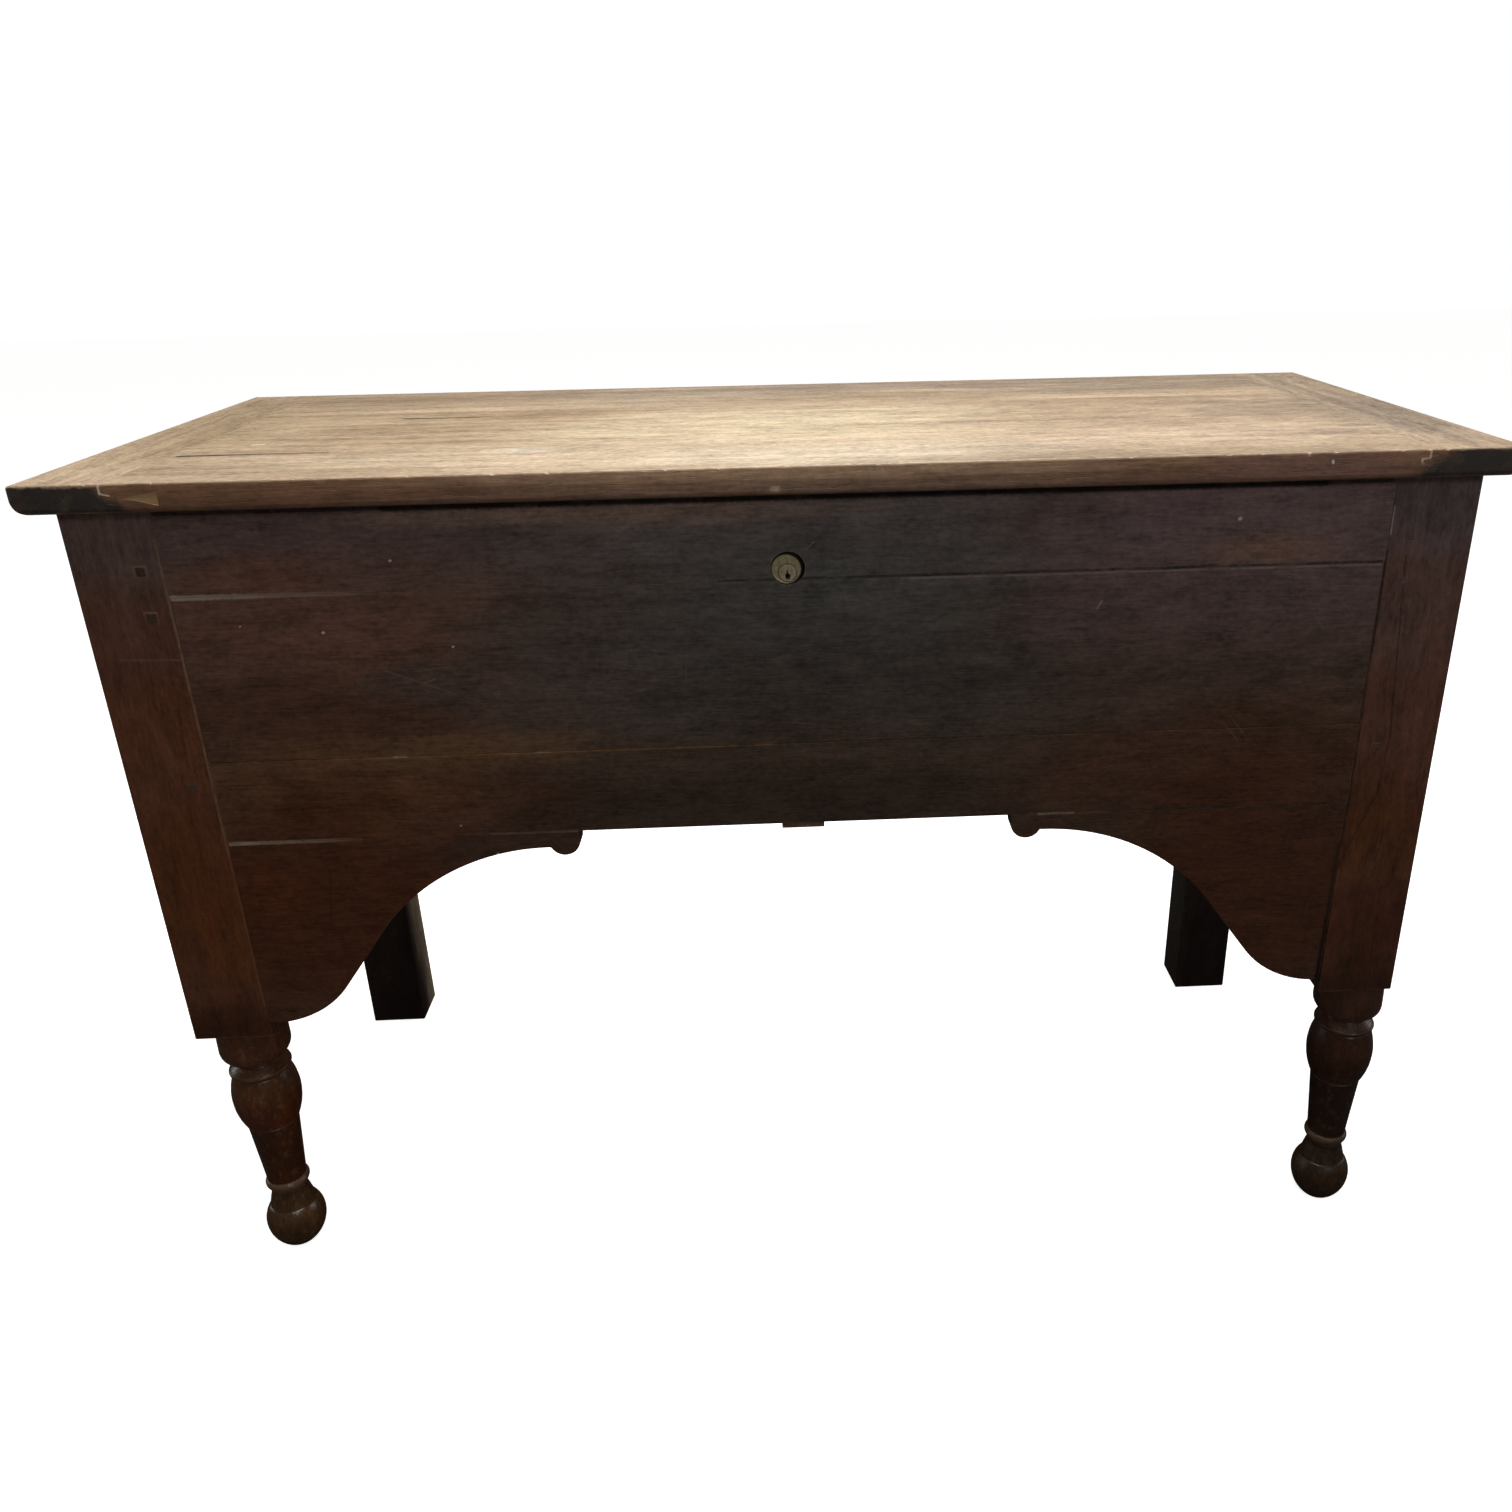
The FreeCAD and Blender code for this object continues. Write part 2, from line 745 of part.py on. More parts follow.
def lid_leaf_screws(gap=0.0):
    heads = hinge_screw_heads(case_top + hinge_leaf_gap)
    return [screw(head, Vector(0, 0, 1), hinge_screw_length, gap) for head in heads]


def leaf_space(low, high):
    half = hinge_length / 2 + joint_clearance
    return box(-hinge_offset - half, -hinge_offset + half,
               hinge_axis_y - hinge_leaf_width - joint_clearance, lid_back + overrun, low, high)


def case_leaf_spaces():
    cuts = [leaf_space(case_top - hinge_leaf_thickness, case_top + overrun)]
    cuts += case_leaf_screws(joint_clearance)
    return [cut for shape in cuts for cut in both_sides(shape)]


def lid_leaf_spaces():
    cuts = [leaf_space(case_top - overrun, case_top + hinge_leaf_thickness)]
    cuts += lid_leaf_screws(joint_clearance)
    return [cut for shape in cuts for cut in both_sides(shape)]


def hinge_leaf(low, high, parity, screw_holes):
    """A leaf with every second knuckle, cut back where the other leaf's knuckles turn."""
    start = -hinge_offset - hinge_length / 2
    end = start + hinge_length
    step = hinge_length / knuckle_count
    leaf = box(start, end, hinge_axis_y - hinge_leaf_width, hinge_axis_y, low, high)
    room = hinge_barrel_radius + hinge_standoff
    barrels = []
    for k in range(knuckle_count):
        near = start + k * step + (hinge_knuckle_gap / 2 if k else 0)
        far = start + (k + 1) * step - (hinge_knuckle_gap / 2 if k < knuckle_count - 1 else 0)
        if k % 2 == parity:
            barrels.append(rod(hinge_barrel_radius, Vector(near, hinge_axis_y, case_top),
                               Vector(far, hinge_axis_y, case_top)))
        else:
            leaf = leaf.cut(box(near - hinge_knuckle_gap, far + hinge_knuckle_gap, hinge_axis_y - room,
                                hinge_axis_y + overrun, low - overrun, high + overrun))
    bore = rod(hinge_pin_radius + running_clearance, Vector(start - overrun, hinge_axis_y, case_top),
               Vector(end + overrun, hinge_axis_y, case_top))
    return leaf.fuse(barrels).cut([bore] + screw_holes)


def hinge_pin():
    start = -hinge_offset - hinge_length / 2
    end = start + hinge_length
    return rod(hinge_pin_radius, Vector(start, hinge_axis_y, case_top), Vector(end, hinge_axis_y, case_top))


def hinges():
    case_leaf = hinge_leaf(case_top - hinge_leaf_thickness, case_top - hinge_leaf_gap, 0,
                           case_leaf_screws(joint_clearance))
    lid_leaf = hinge_leaf(case_top + hinge_leaf_gap, case_top + hinge_leaf_thickness, 1,
                          lid_leaf_screws(joint_clearance))
    pieces = [("case_leaf", case_leaf), ("lid_leaf", lid_leaf), ("pin", hinge_pin())]
    for name, piece in pieces:
        keep("left_hinge_" + name, piece)
        keep("right_hinge_" + name, mirrored(piece))
    keep("hinge_case_screws", [s for one in case_leaf_screws() for s in both_sides(one)])
    keep("hinge_lid_screws", [s for one in lid_leaf_screws() for s in both_sides(one)])


# Lock: a cylinder in the front rail, whose plug turns a cam that slides a hooked bolt sideways
# through the eyes of two lugs on the lid


def face_plate_space():
    half = face_plate_width / 2 + joint_clearance
    return box(-half, half, front_inner - face_plate_reach - joint_clearance, front_inner + overrun,
               face_plate_under, case_top + overrun)


def lock_ear_screws(gap=0.0):
    side = lock_width / 2 + ear_width / 2
    height = face_plate_under - ear_screw_drop
    return [screw(Vector(x, front_inner + ear_thickness, height), Vector(0, -1, 0), lock_screw_length, gap)
            for x in (-side, side)]


def lock_face_screws(gap=0.0):
    return [screw(Vector(x, face_screw_y, case_top), Vector(0, 0, -1), lock_screw_length, gap)
            for x in (-face_screw_offset, face_screw_offset)]


def lock_screw_holes():
    return lock_ear_screws(joint_clearance) + lock_face_screws(joint_clearance)


def strike_screws(gap=0.0):
    return [screw(Vector(x, bolt_middle, strike_under), Vector(0, 0, 1), lock_screw_length, gap)
            for x in (-strike_screw_offset, strike_screw_offset)]


def strike_space():
    gap = joint_clearance
    half = strike_width / 2 + gap
    depth = strike_depth / 2 + gap
    return box(-half, half, bolt_middle - depth, bolt_middle + depth,
               case_top - overrun, strike_under + strike_thickness)


def lock_case():
    """A tray with its open side to the rail, an ear each side and two ribs that carry the bolt's bar."""
    half = lock_width / 2
    back = front_inner + lock_depth
    tray = box(-half, half, front_inner, back, lock_under, face_plate_under)
    hollow = box(-half + lock_wall, half - lock_wall, front_inner - overrun, back - lock_wall,
                 lock_under + lock_wall, face_plate_under + overrun)
    ear_top = face_plate_under - ear_drop
    ears = [box(side * half, side * (half + ear_width), front_inner, front_inner + ear_thickness,
                ear_top - ear_height, ear_top) for side in (-1, 1)]
    rib_top = bolt_bar_under - guide_rib_gap
    reach = drive_side + bolt_stem_width / 2 + guide_rib_stand
    ribs = [box(side * reach, side * (half - lock_wall), bolt_near, back - lock_wall,
                rib_top - guide_rib_height, rib_top) for side in (-1, 1)]
    return tray.cut(hollow).fuse(ears + ribs).cut(lock_ear_screws(joint_clearance))


def lock_cover():
    """The cap plate over the tray, pierced for the cylinder."""
    gap = joint_clearance
    half = lock_width / 2 - lock_wall - gap
    cover = box(-half, half, front_inner, front_inner + lock_wall,
                lock_under + lock_wall + gap, face_plate_under - gap)
    hole = rod(cylinder_radius + gap, Vector(0, front_inner - overrun, cylinder_height),
               Vector(0, front_inner + lock_wall + overrun, cylinder_height))
    return cover.cut(hole)


def lug_slots():
    half = lug_thickness / 2 + lug_slot_side_clearance
    depth = lug_width / 2 + lug_slot_end_clearance
    return [box(side * lug_offset - half, side * lug_offset + half, bolt_middle - depth,
                bolt_middle + depth, face_plate_under - overrun, case_top + overrun) for side in (-1, 1)]


def lock_face_plate():
    half = face_plate_width / 2
    body = box(-half, half, front_inner - face_plate_reach, front_inner + lock_depth,
               face_plate_under, case_top)
    return body.cut(lug_slots() + lock_face_screws(joint_clearance))


def lock_cylinder():
    """The fixed body of the lock, with a rim round its face and a bore low down for the plug."""
    rear = front_inner + lock_wall
    body = rod(cylinder_radius, Vector(0, cylinder_face, cylinder_height),
               Vector(0, rear, cylinder_height))
    dish = rod(cylinder_radius - cylinder_rim, Vector(0, cylinder_face - overrun, cylinder_height),
               Vector(0, cylinder_face + plug_proud, cylinder_height))
    bore = rod(plug_radius + running_clearance, Vector(0, cylinder_face - overrun, plug_height),
               Vector(0, rear + overrun, plug_height))
    return body.cut([dish, bore])


def keyway():
    """The key's opening: a wide lower part with a notch on its right, under a narrow slot."""
    front = cylinder_face - overrun
    back = cylinder_face + keyway_depth
    half = keyhole_width / 2
    top = plug_height - keyhole_drop
    lower = box(-half, half, front, back, top - keyhole_height, top)
    slot = box(-key_slot_width / 2, key_slot_width / 2, front, back, top - overrun,
               plug_height + key_slot_rise)
    notch_top = plug_height - key_notch_drop
    notch = box(0, half + key_notch_reach, front, back, notch_top - key_notch_height, notch_top)
    return lower.fuse([slot, notch])


def lock_plug():
    """The turning plug, with the keyway and the hole for the cam's screw."""
    body = rod(plug_radius, Vector(0, cylinder_face, plug_height), Vector(0, plug_rear, plug_height))
    hole = rod(cam_screw_shank + running_clearance,
               Vector(0, cam_rear - cam_screw_length - running_clearance, plug_height),
               Vector(0, plug_rear + overrun, plug_height))
    return body.cut([keyway(), hole])


def lock_cam():
    """The round cam on the plug's tail, with the drive pin at the upper left."""
    disc = rod(cam_radius, Vector(0, plug_rear, plug_height), Vector(0, cam_rear, plug_height))
    foot = Vector(-drive_side, plug_rear, plug_height + drive_lift)
    pin = rod(drive_pin_radius, foot, Vector(-drive_side, bolt_far, plug_height + drive_lift))
    hole = rod(cam_screw_shank + running_clearance, Vector(0, plug_rear - overrun, plug_height),
               Vector(0, cam_rear + overrun, plug_height))
    return disc.fuse(pin).cut(hole)


def lock_cam_screw():
    shank = rod(cam_screw_shank, Vector(0, cam_rear - cam_screw_length, plug_height),
                Vector(0, cam_rear, plug_height))
    head = rod(cam_screw_radius, Vector(0, cam_rear, plug_height),
               Vector(0, cam_rear + cam_screw_head, plug_height))
    return head.fuse(shank)


def lock_bolt():
    """A flat bolt: a slotted stem, a bar, and two hooks whose fingers point to the right.
    Its bar is as long on the right, once the bolt has moved, as on the left before."""
    stem = box(-drive_side - bolt_stem_width / 2, -drive_side + bolt_stem_width / 2, bolt_near, bolt_far,
               plug_height - drive_pin_radius, bolt_bar_under + overrun)
    slot_half = drive_pin_radius + drive_slot_clearance
    slot = box(-drive_side - slot_half, -drive_side + slot_half, bolt_near - overrun, bolt_far + overrun,
               plug_height + drive_lift - slot_half, plug_height + drive_radius + slot_half)
    finger_middle = case_top - lug_eye_drop
    finger_low = finger_middle - hook_finger_height / 2
    finger_high = finger_middle + hook_finger_height / 2
    pieces = []
    for side in (-1, 1):
        tip = side * lug_offset - lug_thickness / 2 - hook_gap
        post_right = tip - hook_finger_length
        pieces.append(box(post_right - hook_post_width, post_right, bolt_near, bolt_far,
                          bolt_bar_under, finger_high))
        pieces.append(box(post_right - overrun, tip, bolt_near, bolt_far, finger_low, finger_high))
    left = -lug_offset - lug_thickness / 2 - hook_gap - hook_finger_length - hook_post_width
    travel = 2 * drive_side
    bar = box(left, -left - travel, bolt_near, bolt_far, bolt_bar_under, bolt_bar_top)
    return stem.fuse(pieces + [bar]).cut(slot)


def lid_strike():
    """The plate let into the lid, with two eyed lugs that drop into the lock."""
    half = strike_width / 2
    depth = strike_depth / 2
    body = box(-half, half, bolt_middle - depth, bolt_middle + depth,
               strike_under, strike_under + strike_thickness)
    lugs = []
    eyes = []
    for side in (-1, 1):
        near = side * lug_offset - lug_thickness / 2
        far = near + lug_thickness
        lugs.append(box(near, far, bolt_middle - lug_width / 2, bolt_middle + lug_width / 2,
                        case_top - lug_length, strike_under + overrun))
        eyes.append(box(near - overrun, far + overrun, bolt_middle - lug_eye_width / 2,
                        bolt_middle + lug_eye_width / 2, case_top - lug_eye_drop - lug_eye_height / 2,
                        case_top - lug_eye_drop + lug_eye_height / 2))
    return body.fuse(lugs).cut(eyes + strike_screws(joint_clearance))


def lock():
    keep("lock_case", lock_case())
    keep("lock_cover", lock_cover())
    keep("lock_face_plate", lock_face_plate())
    keep("lock_cylinder", lock_cylinder())
    keep("lock_screws", lock_ear_screws() + lock_face_screws())
    keep("lock_plug", lock_plug())
    keep("lock_cam", lock_cam())
    keep("lock_cam_screw", lock_cam_screw())
    keep("lock_bolt", lock_bolt())
    keep("lid_strike", lid_strike())
    keep("lid_strike_screws", strike_screws())


def build():
    keep("front_left_leg", front_leg(0, 0))
    keep("front_right_leg", mirrored(front_leg(right_foot_outward, right_foot_forward)))
    for side, shape in (("left", rear_leg()), ("right", mirrored(rear_leg()))):
        keep("rear_%s_leg" % side, shape)
    for side, shape in (("left", bracket()), ("right", mirrored(bracket()))):
        keep("front_%s_bracket" % side, shape)
    front_boards()
    back_boards()
    side_boards()
    floor_boards()
    centre_batten()
    divider()
    pegs()
    lid_boards()
    lid_ends()
    hinges()
    lock()


build()
os.makedirs("parts", exist_ok=True)
for node_name, node_shape in NODES.items():
    node_shape.exportStep("parts/%s.step" % node_name)
    print("%-26s solids %d  valid %s  volume %.0f mm3" % (node_name, len(node_shape.Solids),
                                                          node_shape.isValid(), node_shape.Volume))
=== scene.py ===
import bmesh
import bpy
import json
import math
import random
from mathutils import Matrix, Vector


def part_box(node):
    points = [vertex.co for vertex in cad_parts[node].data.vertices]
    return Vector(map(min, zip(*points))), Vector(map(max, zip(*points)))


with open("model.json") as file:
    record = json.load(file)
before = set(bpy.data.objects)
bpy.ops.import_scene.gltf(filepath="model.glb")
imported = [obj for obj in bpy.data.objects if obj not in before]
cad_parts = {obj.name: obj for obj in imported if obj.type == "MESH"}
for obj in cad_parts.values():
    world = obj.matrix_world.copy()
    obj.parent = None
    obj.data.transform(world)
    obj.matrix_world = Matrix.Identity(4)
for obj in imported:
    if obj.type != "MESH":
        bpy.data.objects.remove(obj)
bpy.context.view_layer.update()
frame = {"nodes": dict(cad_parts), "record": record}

# Camera, as fitted to the photograph: metres and radians
camera_place = (0.0038, -1.3332, 1.0475)
camera_pitch = 0.4076
camera_yaw = -0.0399
camera_roll = 0.0190
camera_focal_pixels = 1266.157
camera_centre_pixel = 844.605
image_pixels = 1512
sensor_width = 36.0

# The chest's own places that the finishes refer to, most of them read from its boards
rail_low, rail_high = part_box("front_top_rail")
front_low, front_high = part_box("lid_front_board")
back_low, back_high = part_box("back_lower_board")
plug_low, plug_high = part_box("lock_plug")
case_front = rail_low.y
front_inner = rail_high.y
back_inner = back_low.y
side_inner = -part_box("left_side_lower_board")[1].x
half_width = 0.610
lid_under = front_low.z
lid_top = front_high.z
lid_front = front_low.y
lid_depth = 0.536
lid_back = lid_front + lid_depth
lid_half = 0.632

# The seams, from the top down and from the lid's front back
seam_1 = rail_low.z
seam_2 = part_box("front_upper_board")[0].z
seam_3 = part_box("front_lower_board")[0].z
lid_seam_1 = lid_front + 0.124
lid_seam_2 = lid_front + 0.357

# How the finishes meet the case
bare_above = seam_3 - 0.01
bare_margin = 0.0004
plug_middle = (0.0, case_front, (plug_low.z + plug_high.z) / 2)
plug_ring_radius = 0.0079
# The bore's rim throws a painted shadow on the cylinder: it is darkened outside a circle set below and left
# of its middle, so the shadow is widest at the top and right.
bore_middle = (-0.0010, case_front, 0.7586)
bore_unshaded_radius = 0.0122
bore_rim_shadow_radius = 0.0134
lid_arris_reach = 0.006

# How far arrises are softened
board_arris = 0.0011
inner_arris = 0.0010
lid_arris = 0.0004
peg_arris = 0.0005
plug_arris = 0.0007
cylinder_arris = 0.0008


# Camera and lamps


def make_camera():
    """The camera at the photograph's place and angle, with its off-centre lens as a shift."""
    right = Vector((math.cos(camera_yaw), math.sin(camera_yaw), 0))
    ahead = Vector((-math.sin(camera_yaw), math.cos(camera_yaw), 0))
    upward = Vector((0, 0, 1))
    forward = math.cos(camera_pitch) * ahead - math.sin(camera_pitch) * upward
    above = math.sin(camera_pitch) * ahead + math.cos(camera_pitch) * upward
    rolled_right = math.cos(camera_roll) * right - math.sin(camera_roll) * above
    rolled_up = math.sin(camera_roll) * right + math.cos(camera_roll) * above
    data = bpy.data.cameras.new("camera")
    data.sensor_width = sensor_width
    data.lens = sensor_width * camera_focal_pixels / image_pixels
    data.shift_x = (image_pixels / 2 - camera_centre_pixel) / image_pixels
    data.clip_start = 0.05
    camera = bpy.data.objects.new("camera", data)
    turn = Matrix((rolled_right, rolled_up, -forward)).transposed().to_4x4()
    camera.matrix_world = Matrix.Translation(camera_place) @ turn
    bpy.context.scene.collection.objects.link(camera)
    bpy.context.scene.camera = camera


def add_area_light(name, place, aim, width, depth, watts, mirrored=True):
    """A soft lamp. One that isn't mirrored only brightens, without a sheen on the lid."""
    data = bpy.data.lights.new(name, "AREA")
    data.shape = "RECTANGLE"
    data.size = width
    data.size_y = depth
    data.energy = watts
    data.color = (1.0, 0.97, 0.93)
    light = bpy.data.objects.new(name, data)
    light.visible_glossy = mirrored
    light.location = place
    light.rotation_euler = (Vector(aim) - Vector(place)).to_track_quat("-Z", "Y").to_euler()
    bpy.context.scene.collection.objects.link(light)


# Node building


def add(tree, kind, inputs=None, **settings):
    """A node with its settings. inputs gives values or other nodes' sockets, by name or number."""
    made = tree.nodes.new(kind)
    for name, value in settings.items():
        setattr(made, name, value)
    for key, value in (inputs or {}).items():
        feed(tree, value, made.inputs[key])
    return made


def feed(tree, value, socket):
    if isinstance(value, bpy.types.NodeSocket):
        tree.links.new(value, socket)
    else:
        socket.default_value = value


def maths(tree, operation, *values):
    made = add(tree, "ShaderNodeMath", operation=operation)
    for socket, value in zip(made.inputs, values):
        feed(tree, value, socket)
    return made.outputs[0]


def vectors(tree, operation, *values):
    made = add(tree, "ShaderNodeVectorMath", operation=operation)
    for socket, value in zip(made.inputs, values):
        feed(tree, value, socket)
    return made.outputs["Value" if operation in ("LENGTH", "DOT_PRODUCT") else "Vector"]


def ramped(tree, value, start, end, low=0.0, high=1.0):
    """A value that goes smoothly from low to high as another goes from start to end."""
    made = add(tree, "ShaderNodeMapRange", interpolation_type="SMOOTHSTEP")
    for name, given in (("Value", value), ("From Min", start), ("From Max", end),
                        ("To Min", low), ("To Max", high)):
        feed(tree, given, made.inputs[name])
    return made.outputs["Result"]


def noise(tree, place, stretch, detail=2.0, roughness=0.5, colour=False):
    """Noise whose features are 1 / stretch metres long on each axis."""
    scaled = vectors(tree, "MULTIPLY", place, stretch)
    made = add(tree, "ShaderNodeTexNoise", {"Vector": scaled, "Scale": 1.0, "Detail": detail,
                                            "Roughness": roughness})
    return made.outputs["Color" if colour else "Fac"]


def blended(tree, share, base, over, how="MIX"):
    """A colour laid over another by a share."""
    made = add(tree, "ShaderNodeMix", data_type="RGBA", blend_type=how)
    feed(tree, share, made.inputs[0])
    feed(tree, base, made.inputs[6])
    feed(tree, over, made.inputs[7])
    return made.outputs[2]


def tone(red, green, blue):
    return (red, green, blue, 1.0)


def split(tree, vector):
    return add(tree, "ShaderNodeSeparateXYZ", {0: vector}).outputs


def new_group(name, inputs, outputs=("Mask",)):
    """A node group with a place and other named sockets: its tree, what it is given, what it puts out."""
    tree = bpy.data.node_groups.new(name, "ShaderNodeTree")
    for title, value in {"Place": (0, 0, 0), **inputs}.items():
        kind = "NodeSocketVector" if isinstance(value, tuple) else "NodeSocketFloat"
        tree.interface.new_socket(title, in_out="INPUT", socket_type=kind).default_value = value
    for title in outputs:
        tree.interface.new_socket(title, in_out="OUTPUT", socket_type="NodeSocketFloat")
    given = tree.nodes.new("NodeGroupInput").outputs
    result = tree.nodes.new("NodeGroupOutput").inputs
    return tree, given, result


def use(tree, group, inputs):
    made = tree.nodes.new("ShaderNodeGroup")
    made.node_tree = group
    for key, value in inputs.items():
        feed(tree, value, made.inputs[key])
    return made.outputs


# Effects that several finishes share


def make_grain():
    """Growth rings round a pith line, broad streaks, fine fibres and pores, all along the X axis."""
    tree, given, result = new_group(
        "grain", {"Pith": (0, 0, 0), "Ring Spacing": 0.004},
        ("Rings", "Streaks", "Fibres", "Pores", "Clouds", "Mottle", "Blotches"))
    moved = vectors(tree, "SUBTRACT", given["Place"], given["Pith"])
    sway = noise(tree, moved, (1.1, 4.0, 4.0), 2.0, 0.5, colour=True)
    sway = vectors(tree, "MULTIPLY", vectors(tree, "SUBTRACT", sway, (0.5, 0.5, 0.5)), (0.0, 0.03, 0.03))
    bent = vectors(tree, "ADD", moved, sway)
    flat = vectors(tree, "MULTIPLY", bent, (0.03, 1.0, 1.0))
    radius = vectors(tree, "LENGTH", flat)
    ripple = noise(tree, bent, (3.0, 40.0, 40.0), 2.0)
    count = maths(tree, "DIVIDE", radius, given["Ring Spacing"])
    count = maths(tree, "ADD", count, maths(tree, "MULTIPLY", ripple, 1.6))
    place_in_ring = maths(tree, "FRACT", count)
    rise = ramped(tree, place_in_ring, 0.1, 0.88)
    drop = ramped(tree, place_in_ring, 0.9, 1.0, 1.0, 0.0)
    strength = ramped(tree, noise(tree, moved, (1.6, 14.0, 14.0), 2.0), 0.36, 0.62)
    rings = maths(tree, "MULTIPLY", maths(tree, "MULTIPLY", rise, drop), strength)
    tree.links.new(rings, result["Rings"])
    tree.links.new(noise(tree, bent, (2.2, 60.0, 60.0), 4.0, 0.6), result["Streaks"])
    tree.links.new(noise(tree, bent, (40.0, 430.0, 430.0), 3.0, 0.6), result["Fibres"])
    pores = ramped(tree, noise(tree, bent, (55.0, 800.0, 800.0), 1.0), 0.60, 0.72)
    tree.links.new(pores, result["Pores"])
    tree.links.new(noise(tree, moved, (5.0, 9.0, 9.0), 3.0, 0.55), result["Clouds"])
    tree.links.new(noise(tree, moved, (150.0, 230.0, 230.0), 4.0, 0.7), result["Mottle"])
    tree.links.new(noise(tree, moved, (24.0, 60.0, 60.0), 5.0, 0.66), result["Blotches"])
    return tree


def make_edge_wear():
    """Where a piece's edges are rubbed, with breaks."""
    tree, given, result = new_group("edge wear", {"Reach": 0.003, "Evenness": 0.3}, ("Wear",))
    rounded = add(tree, "ShaderNodeBevel", {"Radius": given["Reach"]}, samples=4).outputs[0]
    true_normal = tree.nodes.new("ShaderNodeNewGeometry").outputs["True Normal"]
    turn = maths(tree, "SUBTRACT", 1.0, vectors(tree, "DOT_PRODUCT", rounded, true_normal))
    near = ramped(tree, turn, 0.01, 0.16)
    broken = noise(tree, given["Place"], (38.0, 38.0, 38.0), 4.0, 0.65)
    bar = maths(tree, "SUBTRACT", 0.62, maths(tree, "MULTIPLY", given["Evenness"], 0.5))
    broken = ramped(tree, broken, maths(tree, "SUBTRACT", bar, 0.16), bar)
    tree.links.new(maths(tree, "MULTIPLY", near, broken), result["Wear"])
    return tree


def make_patch():
    """A soft-edged ragged patch: 1 in its middle, 0 outside."""
    tree, given, result = new_group(
        "patch", {"Middle": (0, 0, 0), "Size": (1, 1, 1), "Raggedness": 0.5, "Core": 0.25})
    away = vectors(tree, "DIVIDE", vectors(tree, "SUBTRACT", given["Place"], given["Middle"]), given["Size"])
    rag = noise(tree, away, (2.6, 2.6, 2.6), 4.0, 0.6)
    rag = maths(tree, "MULTIPLY", maths(tree, "SUBTRACT", rag, 0.5), given["Raggedness"])
    far = maths(tree, "ADD", vectors(tree, "LENGTH", away), maths(tree, "MULTIPLY", rag, 2.0))
    tree.links.new(ramped(tree, far, given["Core"], 1.0, 1.0, 0.0), result["Mask"])
    return tree


def make_line_mark():
    """A thin mark from one place to another: 1 on the line, with breaks, and less towards its end."""
    tree, given, result = new_group(
        "line mark", {"Start": (0, 0, 0), "End": (1, 0, 0), "Width": 0.001, "Breaks": 0.3, "Fade": 0.0})
    line = vectors(tree, "SUBTRACT", given["End"], given["Start"])
    away = vectors(tree, "SUBTRACT", given["Place"], given["Start"])
    length = vectors(tree, "DOT_PRODUCT", line, line)
    along = maths(tree, "DIVIDE", vectors(tree, "DOT_PRODUCT", away, line), length)
    along = maths(tree, "MINIMUM", maths(tree, "MAXIMUM", along, 0.0), 1.0)
    nearest = vectors(tree, "MULTIPLY", line, along)
    far = vectors(tree, "LENGTH", vectors(tree, "SUBTRACT", away, nearest))
    wander = noise(tree, given["Place"], (300.0, 300.0, 300.0), 2.0)
    width = maths(tree, "MULTIPLY", given["Width"], maths(tree, "ADD", wander, 0.5))
    on_line = ramped(tree, far, maths(tree, "MULTIPLY", width, 0.4), width, 1.0, 0.0)
    gaps = ramped(tree, noise(tree, given["Place"], (70.0, 70.0, 70.0), 3.0, 0.6), 0.38, 0.55)
    kept = maths(tree, "SUBTRACT", 1.0, maths(tree, "MULTIPLY", given["Breaks"],
                                             maths(tree, "SUBTRACT", 1.0, gaps)))
    left = maths(tree, "SUBTRACT", 1.0, maths(tree, "MULTIPLY", given["Fade"], along))
    strength = maths(tree, "MULTIPLY", kept, left)
    tree.links.new(maths(tree, "MULTIPLY", on_line, strength), result["Mask"])
    return tree


def make_scratches():
    """Thin scratches in three directions, where a sparse mask lets them be."""
    tree, given, result = new_group("scratches", {"Amount": 0.5})
    masks = []
    for turn, shift in ((0.5, 0.0), (-0.9, 3.1), (1.45, 7.7)):
        turned = add(tree, "ShaderNodeVectorRotate", {"Vector": given["Place"], "Angle": turn},
                     rotation_type="Y_AXIS").outputs[0]
        turned = vectors(tree, "ADD", turned, (shift, shift, shift))
        lines = ramped(tree, noise(tree, turned, (24.0, 480.0, 480.0), 0.0), 0.77, 0.80)
        where = ramped(tree, noise(tree, turned, (7.0, 9.0, 9.0), 1.0), 0.60, 0.70)
        masks.append(maths(tree, "MULTIPLY", lines, where))
    both = maths(tree, "MAXIMUM", maths(tree, "MAXIMUM", masks[0], masks[1]), masks[2])
    tree.links.new(maths(tree, "MULTIPLY", both, given["Amount"]), result["Mask"])
    return tree


def make_specks():
    """Tiny pale nicks and splashes, one here and there."""
    tree, given, result = new_group("specks", {"Spacing": 0.05, "Share": 0.3})
    scale = maths(tree, "DIVIDE", 1.0, given["Spacing"])
    cells = add(tree, "ShaderNodeTexVoronoi", {"Vector": given["Place"], "Scale": scale}).outputs
    far = maths(tree, "MULTIPLY", cells["Distance"], given["Spacing"])
    pick = split(tree, cells["Color"])
    size = maths(tree, "MULTIPLY", pick[1], 0.0011)
    dot = ramped(tree, maths(tree, "SUBTRACT", far, size), -0.0002, 0.0003, 1.0, 0.0)
    chosen = maths(tree, "LESS_THAN", pick[0], given["Share"])
    tree.links.new(maths(tree, "MULTIPLY", dot, chosen), result["Mask"])
    return tree


